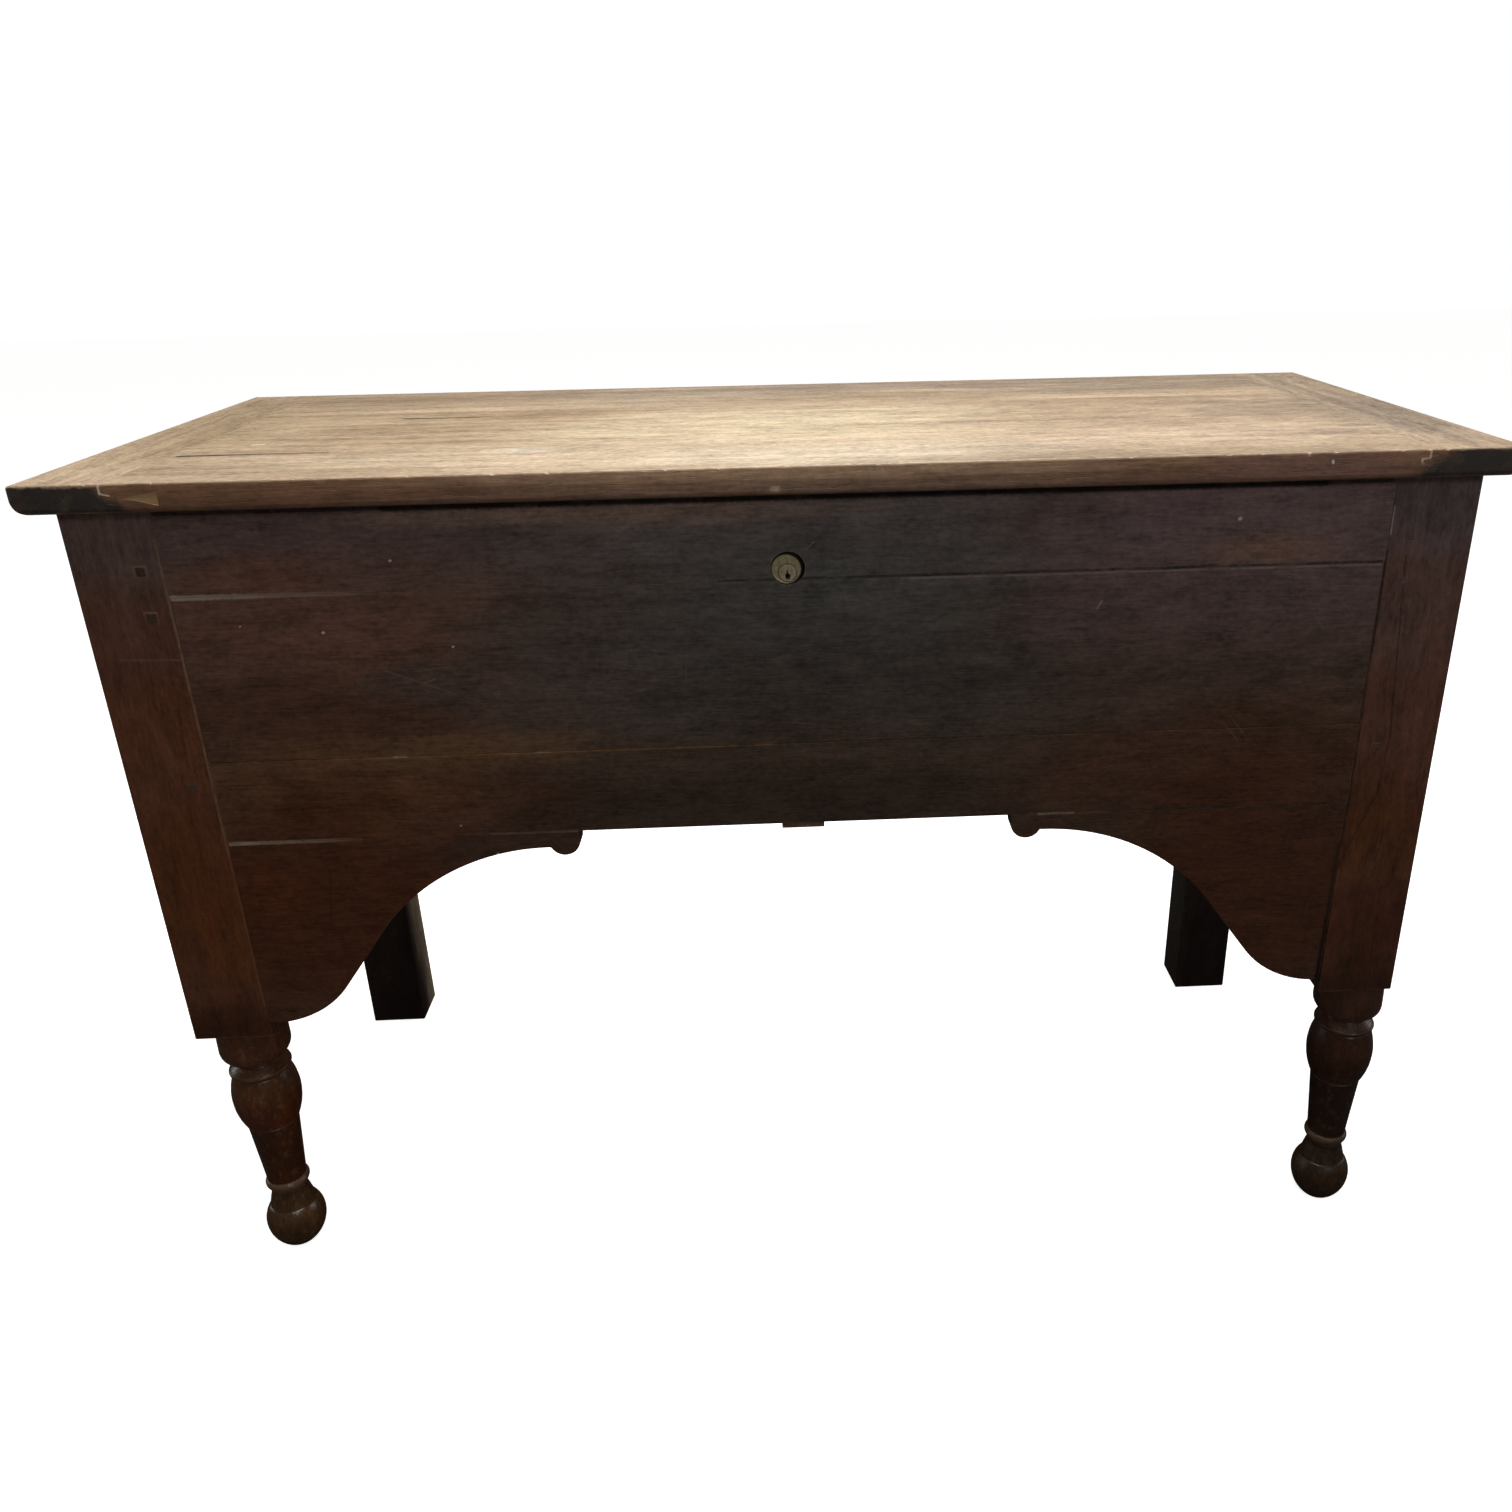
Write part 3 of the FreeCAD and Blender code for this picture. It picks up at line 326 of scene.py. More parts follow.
def make_box_mask():
    """1 inside a block of space, 0 outside."""
    tree, given, result = new_group(
        "inside a block", {"Low": (0, 0, 0), "High": (1, 1, 1), "Softness": 0.0003})
    low = vectors(tree, "SUBTRACT", given["Place"], given["Low"])
    high = vectors(tree, "SUBTRACT", given["High"], given["Place"])
    near = split(tree, vectors(tree, "MINIMUM", low, high))
    least = maths(tree, "MINIMUM", maths(tree, "MINIMUM", near[0], near[1]), near[2])
    soft = given["Softness"]
    tree.links.new(ramped(tree, least, maths(tree, "MULTIPLY", soft, -1.0), soft), result["Mask"])
    return tree


grain = make_grain()
edge_wear = make_edge_wear()
patch = make_patch()
line_mark = make_line_mark()
scratches = make_scratches()
specks = make_specks()
box_mask = make_box_mask()


# Finishes

along_axis = {"x": (0, 0, 0), "y": (0, 0, -math.pi / 2), "z": (0, math.pi / 2, 0)}


def start_material(name):
    material = bpy.data.materials.new(name)
    material.use_nodes = True
    tree = material.node_tree
    surface = tree.nodes["Principled BSDF"]
    place = tree.nodes.new("ShaderNodeTexCoord").outputs
    return material, tree, surface, place


def grain_of(tree, place, along, pith, spacing):
    turned = add(tree, "ShaderNodeVectorRotate", {"Vector": place, "Rotation": along_axis[along]},
                 rotation_type="EULER_XYZ").outputs[0]
    return use(tree, grain, {"Place": turned, "Pith": pith, "Ring Spacing": spacing})


def times(tree, *values):
    product = values[0]
    for value in values[1:]:
        product = maths(tree, "MULTIPLY", product, value)
    return product


def inside_block(tree, place, low, high, softness=0.0003):
    return use(tree, box_mask, {"Place": place, "Low": low, "High": high, "Softness": softness})["Mask"]


def edge_wear_of(tree, place, reach, evenness):
    return use(tree, edge_wear, {"Place": place, "Reach": reach, "Evenness": evenness})["Wear"]


def scratches_of(tree, place, amount):
    return use(tree, scratches, {"Place": place, "Amount": amount})["Mask"]


def specks_of(tree, place, spacing, share):
    return use(tree, specks, {"Place": place, "Spacing": spacing, "Share": share})["Mask"]


def from_axis(tree, place, middle):
    """How far a place is from the line along Y through a middle."""
    away = vectors(tree, "MULTIPLY", vectors(tree, "SUBTRACT", place, middle), (1.0, 0.0, 1.0))
    return vectors(tree, "LENGTH", away)


def put_bump(tree, surface, height, strength, distance):
    made = add(tree, "ShaderNodeBump", {"Height": height, "Strength": strength, "Distance": distance})
    tree.links.new(made.outputs[0], surface.inputs["Normal"])


def reaches(node, middle, size, margin):
    """Whether a patch comes near a piece."""
    low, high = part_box(node)
    return all(low[i] - margin < middle[i] + size[i] and middle[i] - size[i] < high[i] + margin
               for i in range(3))


def laid_over(tree, place, colour, node, patches, lines):
    """A colour with the patches and line marks that come near a piece."""
    for middle, size, over, share in patches:
        if reaches(node, middle, size, 0.02):
            mask = use(tree, patch, {"Place": place, "Middle": middle, "Size": size})["Mask"]
            colour = blended(tree, times(tree, mask, share), colour, over)
    for start, end, width, over, share, breaks, fade in lines:
        middle = [(start[i] + end[i]) / 2 for i in range(3)]
        size = [abs(start[i] - end[i]) / 2 for i in range(3)]
        if reaches(node, middle, size, 0.002):
            mask = use(tree, line_mark, {"Place": place, "Start": start, "End": end, "Width": width,
                                         "Breaks": breaks, "Fade": fade})["Mask"]
            colour = blended(tree, times(tree, mask, share), colour, over)
    return colour


def figured(tree, figure, colour, fine, broad, mottled, blotched, dark):
    """A colour made lighter and darker by the wood's figure."""
    change = times(tree, maths(tree, "SUBTRACT", figure["Fibres"], 0.5), fine)
    for name, share in (("Streaks", broad), ("Mottle", mottled), ("Blotches", blotched)):
        part = times(tree, maths(tree, "SUBTRACT", figure[name], 0.5), share)
        change = maths(tree, "ADD", change, part)
    change = maths(tree, "SUBTRACT", change, times(tree, figure["Rings"], dark))
    change = maths(tree, "SUBTRACT", change, times(tree, figure["Pores"], 1.4 * dark))
    level = maths(tree, "MAXIMUM", maths(tree, "ADD", change, 1.0), 0.15)
    return vectors(tree, "MULTIPLY", colour, level)


def bare_wood_colour(tree, figure):
    colour = blended(tree, ramped(tree, figure["Streaks"], 0.3, 0.7), tone(0.115, 0.070, 0.038),
                     tone(0.170, 0.112, 0.064))
    return figured(tree, figure, colour, 1.2, 0.8, 0.5, 0.3, 0.3)


def stained_wood(node, along, pith, look):
    """Old dark finish with its patches and marks, bare inside the case."""
    material, tree, surface, coordinates = start_material(node.replace("_", " ") + " stain")
    place = coordinates["Object"]
    figure = grain_of(tree, place, along, pith, look.get("ring spacing", 0.0045))
    cloudy = ramped(tree, figure["Clouds"], 0.36, 0.64)
    colour = blended(tree, cloudy, look["middle"], look["light"])
    colour = laid_over(tree, place, colour, node, look.get("patches", []), [])
    for low, high, softness, over in look.get("blocks", []):
        block = inside_block(tree, place, low, high, softness)
        colour = blended(tree, times(tree, block, 0.95), colour, over)
    if "grooves" in look:
        rubbed = noise(tree, place, (150.0, 150.0, 110.0), 5.0, 0.75)
        scuffed = ramped(tree, rubbed, 0.52, 0.66, 0.0, look["scuffs"])
        below = ramped(tree, split(tree, place)[2], 0.25, 0.31, 1.0, 0.0)
        colour = blended(tree, times(tree, scuffed, below), colour, tone(0.170, 0.105, 0.060))
        for up in look["grooves"]:
            groove = inside_block(tree, place, (-1, -1, up - 0.0007), (1, 1, up + 0.0007), 0.0007)
            colour = blended(tree, times(tree, groove, 0.75), colour, tone(0.014, 0.005, 0.002))
    rim = inside_block(tree, place, (-1, -1, lid_under - 0.0012), (1, 1, 1), 0.0004)
    colour = blended(tree, times(tree, rim, 0.9), colour, tone(0.055, 0.034, 0.024))
    colour = figured(tree, figure, colour, *look.get("figure", (0.9, 0.45, 1.3, 1.25, 0.05)))
    colour = laid_over(tree, place, colour, node, [], look.get("lines", []))
    marks = scratches_of(tree, place, look.get("scratches", 0.15))
    nicks = specks_of(tree, place, 0.06, 0.06)
    wear = edge_wear_of(tree, place, look.get("reach", 0.002), 0.2)
    wear = times(tree, wear, look.get("wear", 0.3))
    colour = blended(tree, wear, colour, look["worn"])
    colour = blended(tree, marks, colour, look["worn"])
    colour = blended(tree, nicks, colour, tone(0.30, 0.24, 0.18))
    inside = inside_block(
        tree, place, (-side_inner - bare_margin, front_inner - bare_margin, look.get("bare from", 0.0)),
        (side_inner + bare_margin, back_inner + bare_margin, lid_under - 0.0008))
    colour = blended(tree, inside, colour, bare_wood_colour(tree, figure))
    tree.links.new(colour, surface.inputs["Base Color"])
    rough = look.get("rough", 0.42)
    rough = ramped(tree, figure["Clouds"], 0.3, 0.7, rough, rough + 0.16)
    rough = maths(tree, "ADD", rough, maths(tree, "MULTIPLY", inside, 0.25))
    tree.links.new(rough, surface.inputs["Roughness"])
    surface.inputs["Specular IOR Level"].default_value = look.get("gloss", 0.3)
    height = maths(tree, "SUBTRACT", times(tree, figure["Fibres"], 0.8), times(tree, figure["Pores"], 0.8))
    height = maths(tree, "SUBTRACT", height, times(tree, marks, 1.2))
    height = maths(tree, "ADD", height, times(tree, figure["Streaks"], 1.0))
    put_bump(tree, surface, height, 0.45, 0.0006)
    return material


def lid_wood(node, along, pith):
    """The lid: worn light on top, browner on its edges with black ends, bare below."""
    material, tree, surface, coordinates = start_material(node.replace("_", " ") + " wood")
    place = coordinates["Object"]
    normal = split(tree, coordinates["Normal"])
    figure = grain_of(tree, place, along, pith, 0.006)
    cloudy = ramped(tree, figure["Clouds"], 0.38, 0.62)
    top = blended(tree, cloudy, tone(0.305, 0.225, 0.151), tone(0.385, 0.292, 0.203))
    top = laid_over(tree, place, top, node, lid_patches, [])
    top = figured(tree, figure, top, 0.85, 0.8, 1.4, 0.9, 0.05)
    top = laid_over(tree, place, top, node, [], lid_lines)
    across, _, height = split(tree, place)
    edge = blended(tree, ramped(tree, height, lid_top - 0.019, lid_top - 0.006), tone(0.145, 0.069, 0.038),
                   tone(0.225, 0.114, 0.062))
    edge = laid_over(tree, place, edge, node, lid_edge_patches, [])
    edge = figured(tree, figure, edge, 1.0, 0.5, 1.0, 1.0, 0.05)
    far = maths(tree, "ABSOLUTE", across)
    ragged = maths(tree, "SUBTRACT", noise(tree, place, (60.0, 60.0, 60.0), 4.0, 0.6), 0.5)
    far = maths(tree, "ADD", far, maths(tree, "MULTIPLY", ragged, 0.03))
    far = maths(tree, "ADD", far, times(tree, maths(tree, "SUBTRACT", lid_top, height), 1.4))
    black = times(tree, ramped(tree, far, 0.558, 0.578), ramped(tree, far, 0.640, 0.665, 1.0, 0.5))
    sooty = blended(tree, ramped(tree, figure["Blotches"], 0.5, 0.68), tone(0.026, 0.024, 0.023),
                    tone(0.066, 0.052, 0.038))
    edge = blended(tree, times(tree, black, 0.93), edge, sooty)
    chip = inside_block(tree, place, (-0.545, lid_front + 0.00015, 0.832),
                        (-0.510, lid_front + 0.004, 0.8485), 0.0001)
    edge = blended(tree, times(tree, chip, 0.92), edge, chip_tone)
    edge = laid_over(tree, place, edge, node, [], lid_edge_lines)
    rubbed = maths(tree, "ADD", height, times(tree, ragged, 0.012))
    rubbed = ramped(tree, rubbed, lid_top - 0.0032, lid_top - 0.0012, 0.0, 0.75)
    edge = blended(tree, rubbed, edge, tone(0.30, 0.20, 0.12))
    on_top = ramped(tree, normal[2], 0.45, 0.8)
    below = ramped(tree, normal[2], -0.85, -0.5, 1.0, 0.0)
    colour = blended(tree, on_top, edge, top)
    colour = blended(tree, below, colour, bare_wood_colour(tree, figure))
    wear = edge_wear_of(tree, place, 0.0030, 0.9)
    middle = inside_block(
        tree, place, (lid_arris_reach - lid_half, lid_front + lid_arris_reach, 0.0),
        (lid_half - lid_arris_reach, lid_back - lid_arris_reach, 1.0))
    high = ramped(tree, height, lid_top - 0.006, lid_top - 0.001)
    wear = times(tree, wear, maths(tree, "SUBTRACT", 1.0, middle), high, 0.7)
    colour = blended(tree, wear, colour, tone(0.40, 0.29, 0.185))
    marks = scratches_of(tree, place, 0.35)
    colour = blended(tree, marks, colour, tone(0.20, 0.13, 0.075))
    nicks = specks_of(tree, place, 0.07, 0.07)
    colour = blended(tree, nicks, colour, tone(0.62, 0.54, 0.44))
    tree.links.new(colour, surface.inputs["Base Color"])
    rough = ramped(tree, figure["Streaks"], 0.3, 0.7, 0.48, 0.64)
    tree.links.new(rough, surface.inputs["Roughness"])
    surface.inputs["Specular IOR Level"].default_value = 0.4
    bumps = maths(tree, "SUBTRACT", times(tree, figure["Fibres"], 0.8), times(tree, figure["Pores"], 0.9))
    bumps = maths(tree, "ADD", bumps, times(tree, figure["Streaks"], 1.2))
    put_bump(tree, surface, bumps, 0.55, 0.0006)
    return material


def inner_wood(node, along, pith):
    """Bare wood of the floor, the divider and the batten, dusty and rough."""
    material, tree, surface, coordinates = start_material(node.replace("_", " ") + " wood")
    place = coordinates["Object"]
    figure = grain_of(tree, place, along, pith, 0.005)
    colour = bare_wood_colour(tree, figure)
    dusty = ramped(tree, figure["Clouds"], 0.42, 0.7, 0.0, 0.4)
    colour = blended(tree, dusty, colour, tone(0.22, 0.17, 0.12))
    wear = edge_wear_of(tree, place, 0.002, 0.3)
    colour = blended(tree, times(tree, wear, 0.4), colour, tone(0.26, 0.18, 0.11))
    tree.links.new(colour, surface.inputs["Base Color"])
    tree.links.new(ramped(tree, figure["Fibres"], 0.3, 0.7, 0.65, 0.85), surface.inputs["Roughness"])
    surface.inputs["Specular IOR Level"].default_value = 0.25
    height = maths(tree, "SUBTRACT", figure["Fibres"], times(tree, figure["Pores"], 0.8))
    height = maths(tree, "ADD", height, times(tree, figure["Rings"], 0.5))
    put_bump(tree, surface, height, 0.6, 0.0007)
    return material


def metal(name, low, high, patch_tone, roughness, metallic, in_bore=False):
    """Old metal: two tones of tarnish, darker blotches and rubbed edges.

    The one in the bore has a painted shadow of the bore's rim, widest at the top and right, and has a dark
    ring round the plug.
    """
    material, tree, surface, coordinates = start_material(name)
    place = coordinates["Object"]
    fine = noise(tree, place, (420.0, 420.0, 420.0), 4.0, 0.6)
    broad = noise(tree, place, (95.0, 95.0, 95.0), 3.0, 0.6)
    colour = blended(tree, ramped(tree, fine, 0.35, 0.65), low, high)
    colour = blended(tree, ramped(tree, broad, 0.46, 0.66, 0.0, 0.8), colour, patch_tone)
    wear = edge_wear_of(tree, place, 0.0008, 0.6)
    bright = tuple(min(1.0, 1.9 * part) for part in high[:3]) + (1.0,)
    colour = blended(tree, times(tree, wear, 0.6), colour, bright)
    if in_bore:
        # Painted shadow of the bore's rim on the cylinder's face, widest at the top and right.
        rim_shadow = ramped(tree, from_axis(tree, place, bore_middle), bore_unshaded_radius, bore_rim_shadow_radius)
        colour = blended(tree, rim_shadow, colour, tone(0.012, 0.009, 0.007))
        off = maths(tree, "SUBTRACT", from_axis(tree, place, plug_middle), plug_ring_radius)
        off = maths(tree, "ABSOLUTE", off)
        ring = ramped(tree, off, 0.0002, 0.0010, 0.75, 0.0)
        colour = blended(tree, ring, colour, tone(0.075, 0.055, 0.028))
    tree.links.new(colour, surface.inputs["Base Color"])
    tree.links.new(ramped(tree, broad, 0.3, 0.7, roughness, roughness + 0.25), surface.inputs["Roughness"])
    surface.inputs["Metallic"].default_value = metallic
    put_bump(tree, surface, maths(tree, "ADD", fine, times(tree, broad, 0.6)), 0.35, 0.0002)
    return material


# Light and floor


def shown_by_ray(tree, output, seen, dim, mirrored):
    """One look for the eye, a dimmer one as light on the chest, and a third in its reflections."""
    path = tree.nodes.new("ShaderNodeLightPath").outputs
    unseen = add(tree, "ShaderNodeMixShader", {0: path["Is Glossy Ray"], 1: dim, 2: mirrored}).outputs[0]
    both = add(tree, "ShaderNodeMixShader", {0: path["Is Camera Ray"], 1: unseen, 2: seen}).outputs[0]
    tree.links.new(both, tree.nodes[output].inputs["Surface"])


def light_the_room():
    """A white studio, whose walls and floor are white to the eye and dimmer as light on the chest."""
    world = bpy.data.worlds.new("pale room")
    world.use_nodes = True
    tree = world.node_tree
    seen = tree.nodes["Background"]
    seen.inputs["Color"].default_value = (1.0, 1.0, 1.0, 1)
    seen.inputs["Strength"].default_value = 1.0
    dim = add(tree, "ShaderNodeBackground", {"Color": (1.0, 0.985, 0.96, 1), "Strength": 0.14})
    mirrored = add(tree, "ShaderNodeBackground", {"Color": (1.0, 0.985, 0.96, 1), "Strength": 0.05})
    shown_by_ray(tree, "World Output", seen.outputs[0], dim.outputs[0], mirrored.outputs[0])
    bpy.context.scene.world = world
    bpy.context.scene.view_settings.view_transform = "Standard"
    add_area_light("ceiling light", (0.05, -0.05, 2.7), (0.0, 0.0, 0.8), 2.0, 1.5, 75)
    add_area_light("window light", (1.5, -4.0, 2.6), (0.0, -0.25, 0.5), 0.7, 0.7, 28)
    add_area_light("left side light", (-4.5, 0.9, 1.2), (-0.6, 0.0, 0.5), 1.5, 1.5, 22)
    add_area_light("right side light", (4.5, 0.9, 1.2), (0.6, 0.0, 0.5), 1.5, 1.5, 22)
    add_area_light("back light", (0.0, 5.0, 1.3), (0.0, 0.26, 0.5), 1.5, 1.5, 26, mirrored=False)


def lay_floor():
    mesh = bpy.data.meshes.new("floor")
    half = 12.0
    mesh.from_pydata([(-half, -half, 0), (half, -half, 0), (half, half, 0), (-half, half, 0)], [],
                     [(0, 1, 2, 3)])
    floor = bpy.data.objects.new("floor", mesh)
    bpy.context.scene.collection.objects.link(floor)
    material, tree, surface, _ = start_material("pale floor")
    surface.inputs["Base Color"].default_value = (0.93, 0.93, 0.93, 1)
    surface.inputs["Roughness"].default_value = 0.9
    surface.inputs["Specular IOR Level"].default_value = 0.1
    dim = add(tree, "ShaderNodeBsdfDiffuse", {"Color": (0.26, 0.25, 0.24, 1)})
    mirrored = add(tree, "ShaderNodeBsdfDiffuse", {"Color": (0.05, 0.048, 0.045, 1)})
    lift = add(tree, "ShaderNodeEmission", {"Color": (1, 1, 1, 1), "Strength": 0.86})
    shown = add(tree, "ShaderNodeAddShader", {0: surface.outputs[0], 1: lift.outputs[0]})
    shown_by_ray(tree, "Material Output", shown.outputs[0], dim.outputs[0], mirrored.outputs[0])
    mesh.materials.append(material)


# Which finish each board has


def front_patch(across, up, wide, high, colour, share, depth=0.3):
    """A patch on the case's front: its middle, half sizes and tone, and how much it covers."""
    return (across, case_front, up), (wide, depth, high), tone(*colour), share


def lid_patch(across, along, wide, deep, colour, share):
    return (across, along, lid_top), (wide, deep, 0.3), tone(*colour), share


def front_line(start, end, *rest, front=case_front):
    """A line mark on a face that looks forward. The rest is its width, tone, share, breaks and fade."""
    return (start[0], front, start[1]), (end[0], front, end[1]), *rest


def lid_line(start, end, *rest):
    return (*start, lid_top), (*end, lid_top), *rest


def foot_block(low, high, colour, softness=0.0015):
    """A block across a whole foot, from one height to another."""
    return (-1, -1, low), (1, 1, high), softness, tone(*colour)


front_patches = [front_patch(*row) for row in (
    (-0.42, 0.790, 0.30, 0.09, (0.130, 0.083, 0.076), 0.9),
    (0.00, 0.790, 0.38, 0.09, (0.130, 0.107, 0.104), 0.9),
    (0.42, 0.785, 0.30, 0.10, (0.155, 0.105, 0.106), 0.9),
    (-0.15, 0.815, 0.30, 0.020, (0.215, 0.140, 0.108), 0.8),
    (-0.42, 0.710, 0.29, 0.10, (0.126, 0.059, 0.042), 0.85),
    (-0.44, 0.635, 0.25, 0.06, (0.078, 0.034, 0.020), 0.8),
    (-0.16, 0.680, 0.20, 0.12, (0.076, 0.057, 0.049), 0.8),
    (0.05, 0.710, 0.28, 0.10, (0.065, 0.060, 0.055), 0.85),
    (0.10, 0.635, 0.36, 0.07, (0.052, 0.042, 0.036), 0.85),
    (0.40, 0.715, 0.28, 0.08, (0.098, 0.063, 0.060), 0.85),
    (0.42, 0.640, 0.25, 0.07, (0.070, 0.043, 0.033), 0.85),
    (0.03, 0.755, 0.15, 0.05, (0.084, 0.080, 0.072), 0.7),
    (-0.465, 0.768, 0.09, 0.024, (0.150, 0.070, 0.044), 0.75),
    (0.43, 0.765, 0.09, 0.022, (0.190, 0.102, 0.076), 0.7),
    (-0.33, 0.665, 0.08, 0.030, (0.062, 0.044, 0.036), 0.7),
    (-0.43, 0.555, 0.27, 0.09, (0.122, 0.057, 0.028), 0.9),
    (0.00, 0.575, 0.38, 0.04, (0.058, 0.038, 0.027), 0.75),
    (0.00, 0.532, 0.42, 0.05, (0.038, 0.025, 0.018), 0.9),
    (0.44, 0.560, 0.30, 0.10, (0.068, 0.032, 0.019), 0.9),
    (-0.30, seam_2 + 0.003, 0.19, 0.026, (0.135, 0.070, 0.034), 0.6),
    (-0.43, 0.41, 0.34, 0.24, (0.068, 0.021, 0.008), 0.95),
    (-0.50, 0.45, 0.06, 0.07, (0.090, 0.025, 0.008), 0.6),
    (0.43, 0.41, 0.34, 0.24, (0.058, 0.020, 0.009), 0.95),
    (-0.27, 0.49, 0.11, 0.05, (0.056, 0.030, 0.021), 0.8),
    (0.28, 0.49, 0.11, 0.05, (0.054, 0.030, 0.019), 0.8))]
# Pale tone of worn seam arrises, and also a painted highlight of the light these arrises catch.
seam_wear_and_highlight = tone(0.30, 0.235, 0.175)
# Dark for open joints and seams, and also for the painted shadow that the lid's overhang casts along the
# rail's top.
dark_joint_and_lid_shadow = tone(0.012, 0.009, 0.008)
front_lines = [front_line(*row) for row in (
    # Painted shadow: two dark lines just under the lid's front edge, where its overhang shades the rail.
    ((-0.53, 0.8226), (0.53, 0.8226), 0.0026, dark_joint_and_lid_shadow, 0.75, 0.3, 0.0),
    ((-0.34, 0.8222), (0.47, 0.8222), 0.0040, dark_joint_and_lid_shadow, 0.75, 0.2, 0.0),
    # At the left ends of the first and third seams: worn arrises with a painted highlight, fading to the
    # right.
    ((-0.536, seam_1 - 0.0006), (-0.36, seam_1 - 0.0006), 0.0028, seam_wear_and_highlight, 0.95, 0.2, 0.9),
    ((-0.536, seam_1 - 0.0008), (-0.46, seam_1 - 0.0008), 0.0034, seam_wear_and_highlight, 0.9, 0.3, 0.6),
    ((-0.5305, seam_3 - 0.0006), (-0.41, seam_3 - 0.0006), 0.0026, seam_wear_and_highlight, 0.95, 0.3, 0.9),
    ((-0.06, seam_1 + 0.0004), (0.53, seam_1 + 0.0004), 0.0018, dark_joint_and_lid_shadow, 0.8, 0.5, 0.0),
    ((0.10, seam_1 - 0.0022), (0.53, seam_1 - 0.0022), 0.0013, tone(0.26, 0.20, 0.19), 0.42, 0.6, 0.0),
    ((0.30, seam_3), (0.53, seam_3), 0.0018, dark_joint_and_lid_shadow, 0.8, 0.4, 0.0),
    ((-0.42, seam_2), (-0.02, seam_2), 0.0018, tone(0.18, 0.095, 0.040), 0.8, 0.9, 0.3),
    ((-0.366, seam_2), (-0.355, seam_2), 0.0015, tone(0.42, 0.34, 0.25), 0.55, 0.3, 0.0),
    ((-0.243, seam_2), (-0.225, seam_2), 0.0013, tone(0.34, 0.27, 0.19), 0.35, 0.9, 0.0),
    ((-0.288, seam_3), (-0.208, seam_3), 0.0016, tone(0.20, 0.165, 0.13), 0.35, 0.5, 0.0),
    ((0.232, seam_3), (0.266, seam_3), 0.0016, tone(0.26, 0.22, 0.18), 0.5, 0.3, 0.0),
    ((-0.361, 0.678), (-0.301, 0.653), 0.0008, tone(0.14, 0.10, 0.075), 0.6, 0.9, 0.0),
    ((-0.335, 0.676), (-0.290, 0.681), 0.0007, tone(0.12, 0.09, 0.07), 0.5, 0.9, 0.0),
    ((-0.330, 0.664), (-0.318, 0.668), 0.0010, tone(0.16, 0.12, 0.09), 0.6, 0.5, 0.0),
    ((0.276, 0.715), (0.280, 0.722), 0.0013, tone(0.24, 0.19, 0.15), 0.7, 0.4, 0.0),
    ((0.016, 0.776), (0.024, 0.783), 0.0008, tone(0.22, 0.17, 0.13), 0.7, 0.3, 0.0),
    ((0.5300, 0.300), (0.5322, 0.465), 0.0048, tone(0.006, 0.003, 0.002), 0.97, 0.0, 0.6),
    ((-0.444, 0.480), (-0.456, 0.400), 0.0016, tone(0.020, 0.010, 0.006), 0.22, 0.8, 0.0))]
for across, up, size in ((-0.4085, 0.7144, 0.0017), (-0.3406, 0.7769, 0.0014), (0.3975, 0.7925, 0.0022),
                         (-0.4786, 0.7222, 0.0010), (-0.298, 0.6978, 0.0011), (-0.2843, 0.4907, 0.0012),
                         (-0.315, 0.5217, 0.0010), (0.331, 0.452, 0.0011)):
    front_lines.append(front_line((across - 0.0004, up), (across + 0.0004, up + 0.0003), size,
                                  tone(0.50, 0.42, 0.34), 0.85, 0.0, 0.0))
front_look = {
    "middle": tone(0.060, 0.036, 0.026), "light": tone(0.074, 0.044, 0.031),
    "worn": tone(0.240, 0.160, 0.100), "patches": front_patches, "lines": front_lines,
    "gloss": 0.16, "rough": 0.46}
side_look = dict(front_look, lines=[], patches=[
    ((-half_width, 0.0, 0.58), (0.3, 0.24, 0.10), tone(0.110, 0.048, 0.024), 0.7),
    ((half_width, 0.05, 0.64), (0.3, 0.22, 0.12), tone(0.100, 0.046, 0.026), 0.7)])
back_look = dict(front_look, lines=[], patches=[
    ((0.1, 0.262, 0.65), (0.5, 0.3, 0.12), tone(0.150, 0.105, 0.074), 0.6)], rough=0.6, gloss=0.2,
    scratches=0.6, middle=tone(0.100, 0.064, 0.044), light=tone(0.135, 0.088, 0.060))
post_patches = [front_patch(*row) for row in (
    (-0.57, 0.80, 0.14, 0.09, (0.130, 0.084, 0.074), 0.9, 0.2),
    (-0.57, 0.72, 0.14, 0.07, (0.112, 0.048, 0.032), 0.8, 0.2),
    (-0.58, 0.60, 0.14, 0.09, (0.119, 0.042, 0.019), 0.85),
    (-0.57, 0.45, 0.14, 0.15, (0.101, 0.029, 0.007), 0.92),
    (-0.56, 0.290, 0.14, 0.070, (0.042, 0.012, 0.003), 0.9),
    (0.57, 0.80, 0.14, 0.09, (0.104, 0.075, 0.080), 0.9, 0.2),
    (0.57, 0.69, 0.14, 0.09, (0.102, 0.055, 0.045), 0.9, 0.2),
    (0.57, 0.58, 0.14, 0.09, (0.092, 0.038, 0.025), 0.9),
    (0.57, 0.47, 0.14, 0.11, (0.083, 0.027, 0.008), 0.92),
    (0.57, 0.370, 0.14, 0.08, (0.056, 0.016, 0.006), 0.9),
    (0.57, 0.290, 0.14, 0.070, (0.032, 0.010, 0.003), 0.9),
    (0.597, 0.60, 0.028, 0.14, (0.115, 0.045, 0.028), 0.5))]
left_foot_blocks = [foot_block(*row) for row in (
    (0.2487, 0.2950, (0.076, 0.025, 0.0087)), (0.2290, 0.2487, (0.082, 0.032, 0.010)),
    (0.1665, 0.2290, (0.078, 0.017, 0.0025)), (0.2050, 0.2320, (0.078, 0.028, 0.0065), 0.0150),
    (0.0910, 0.1665, (0.050, 0.013, 0.0020)), (0.0770, 0.0905, (0.112, 0.065, 0.039)),
    (-0.01, 0.0770, (0.058, 0.027, 0.0085)))]
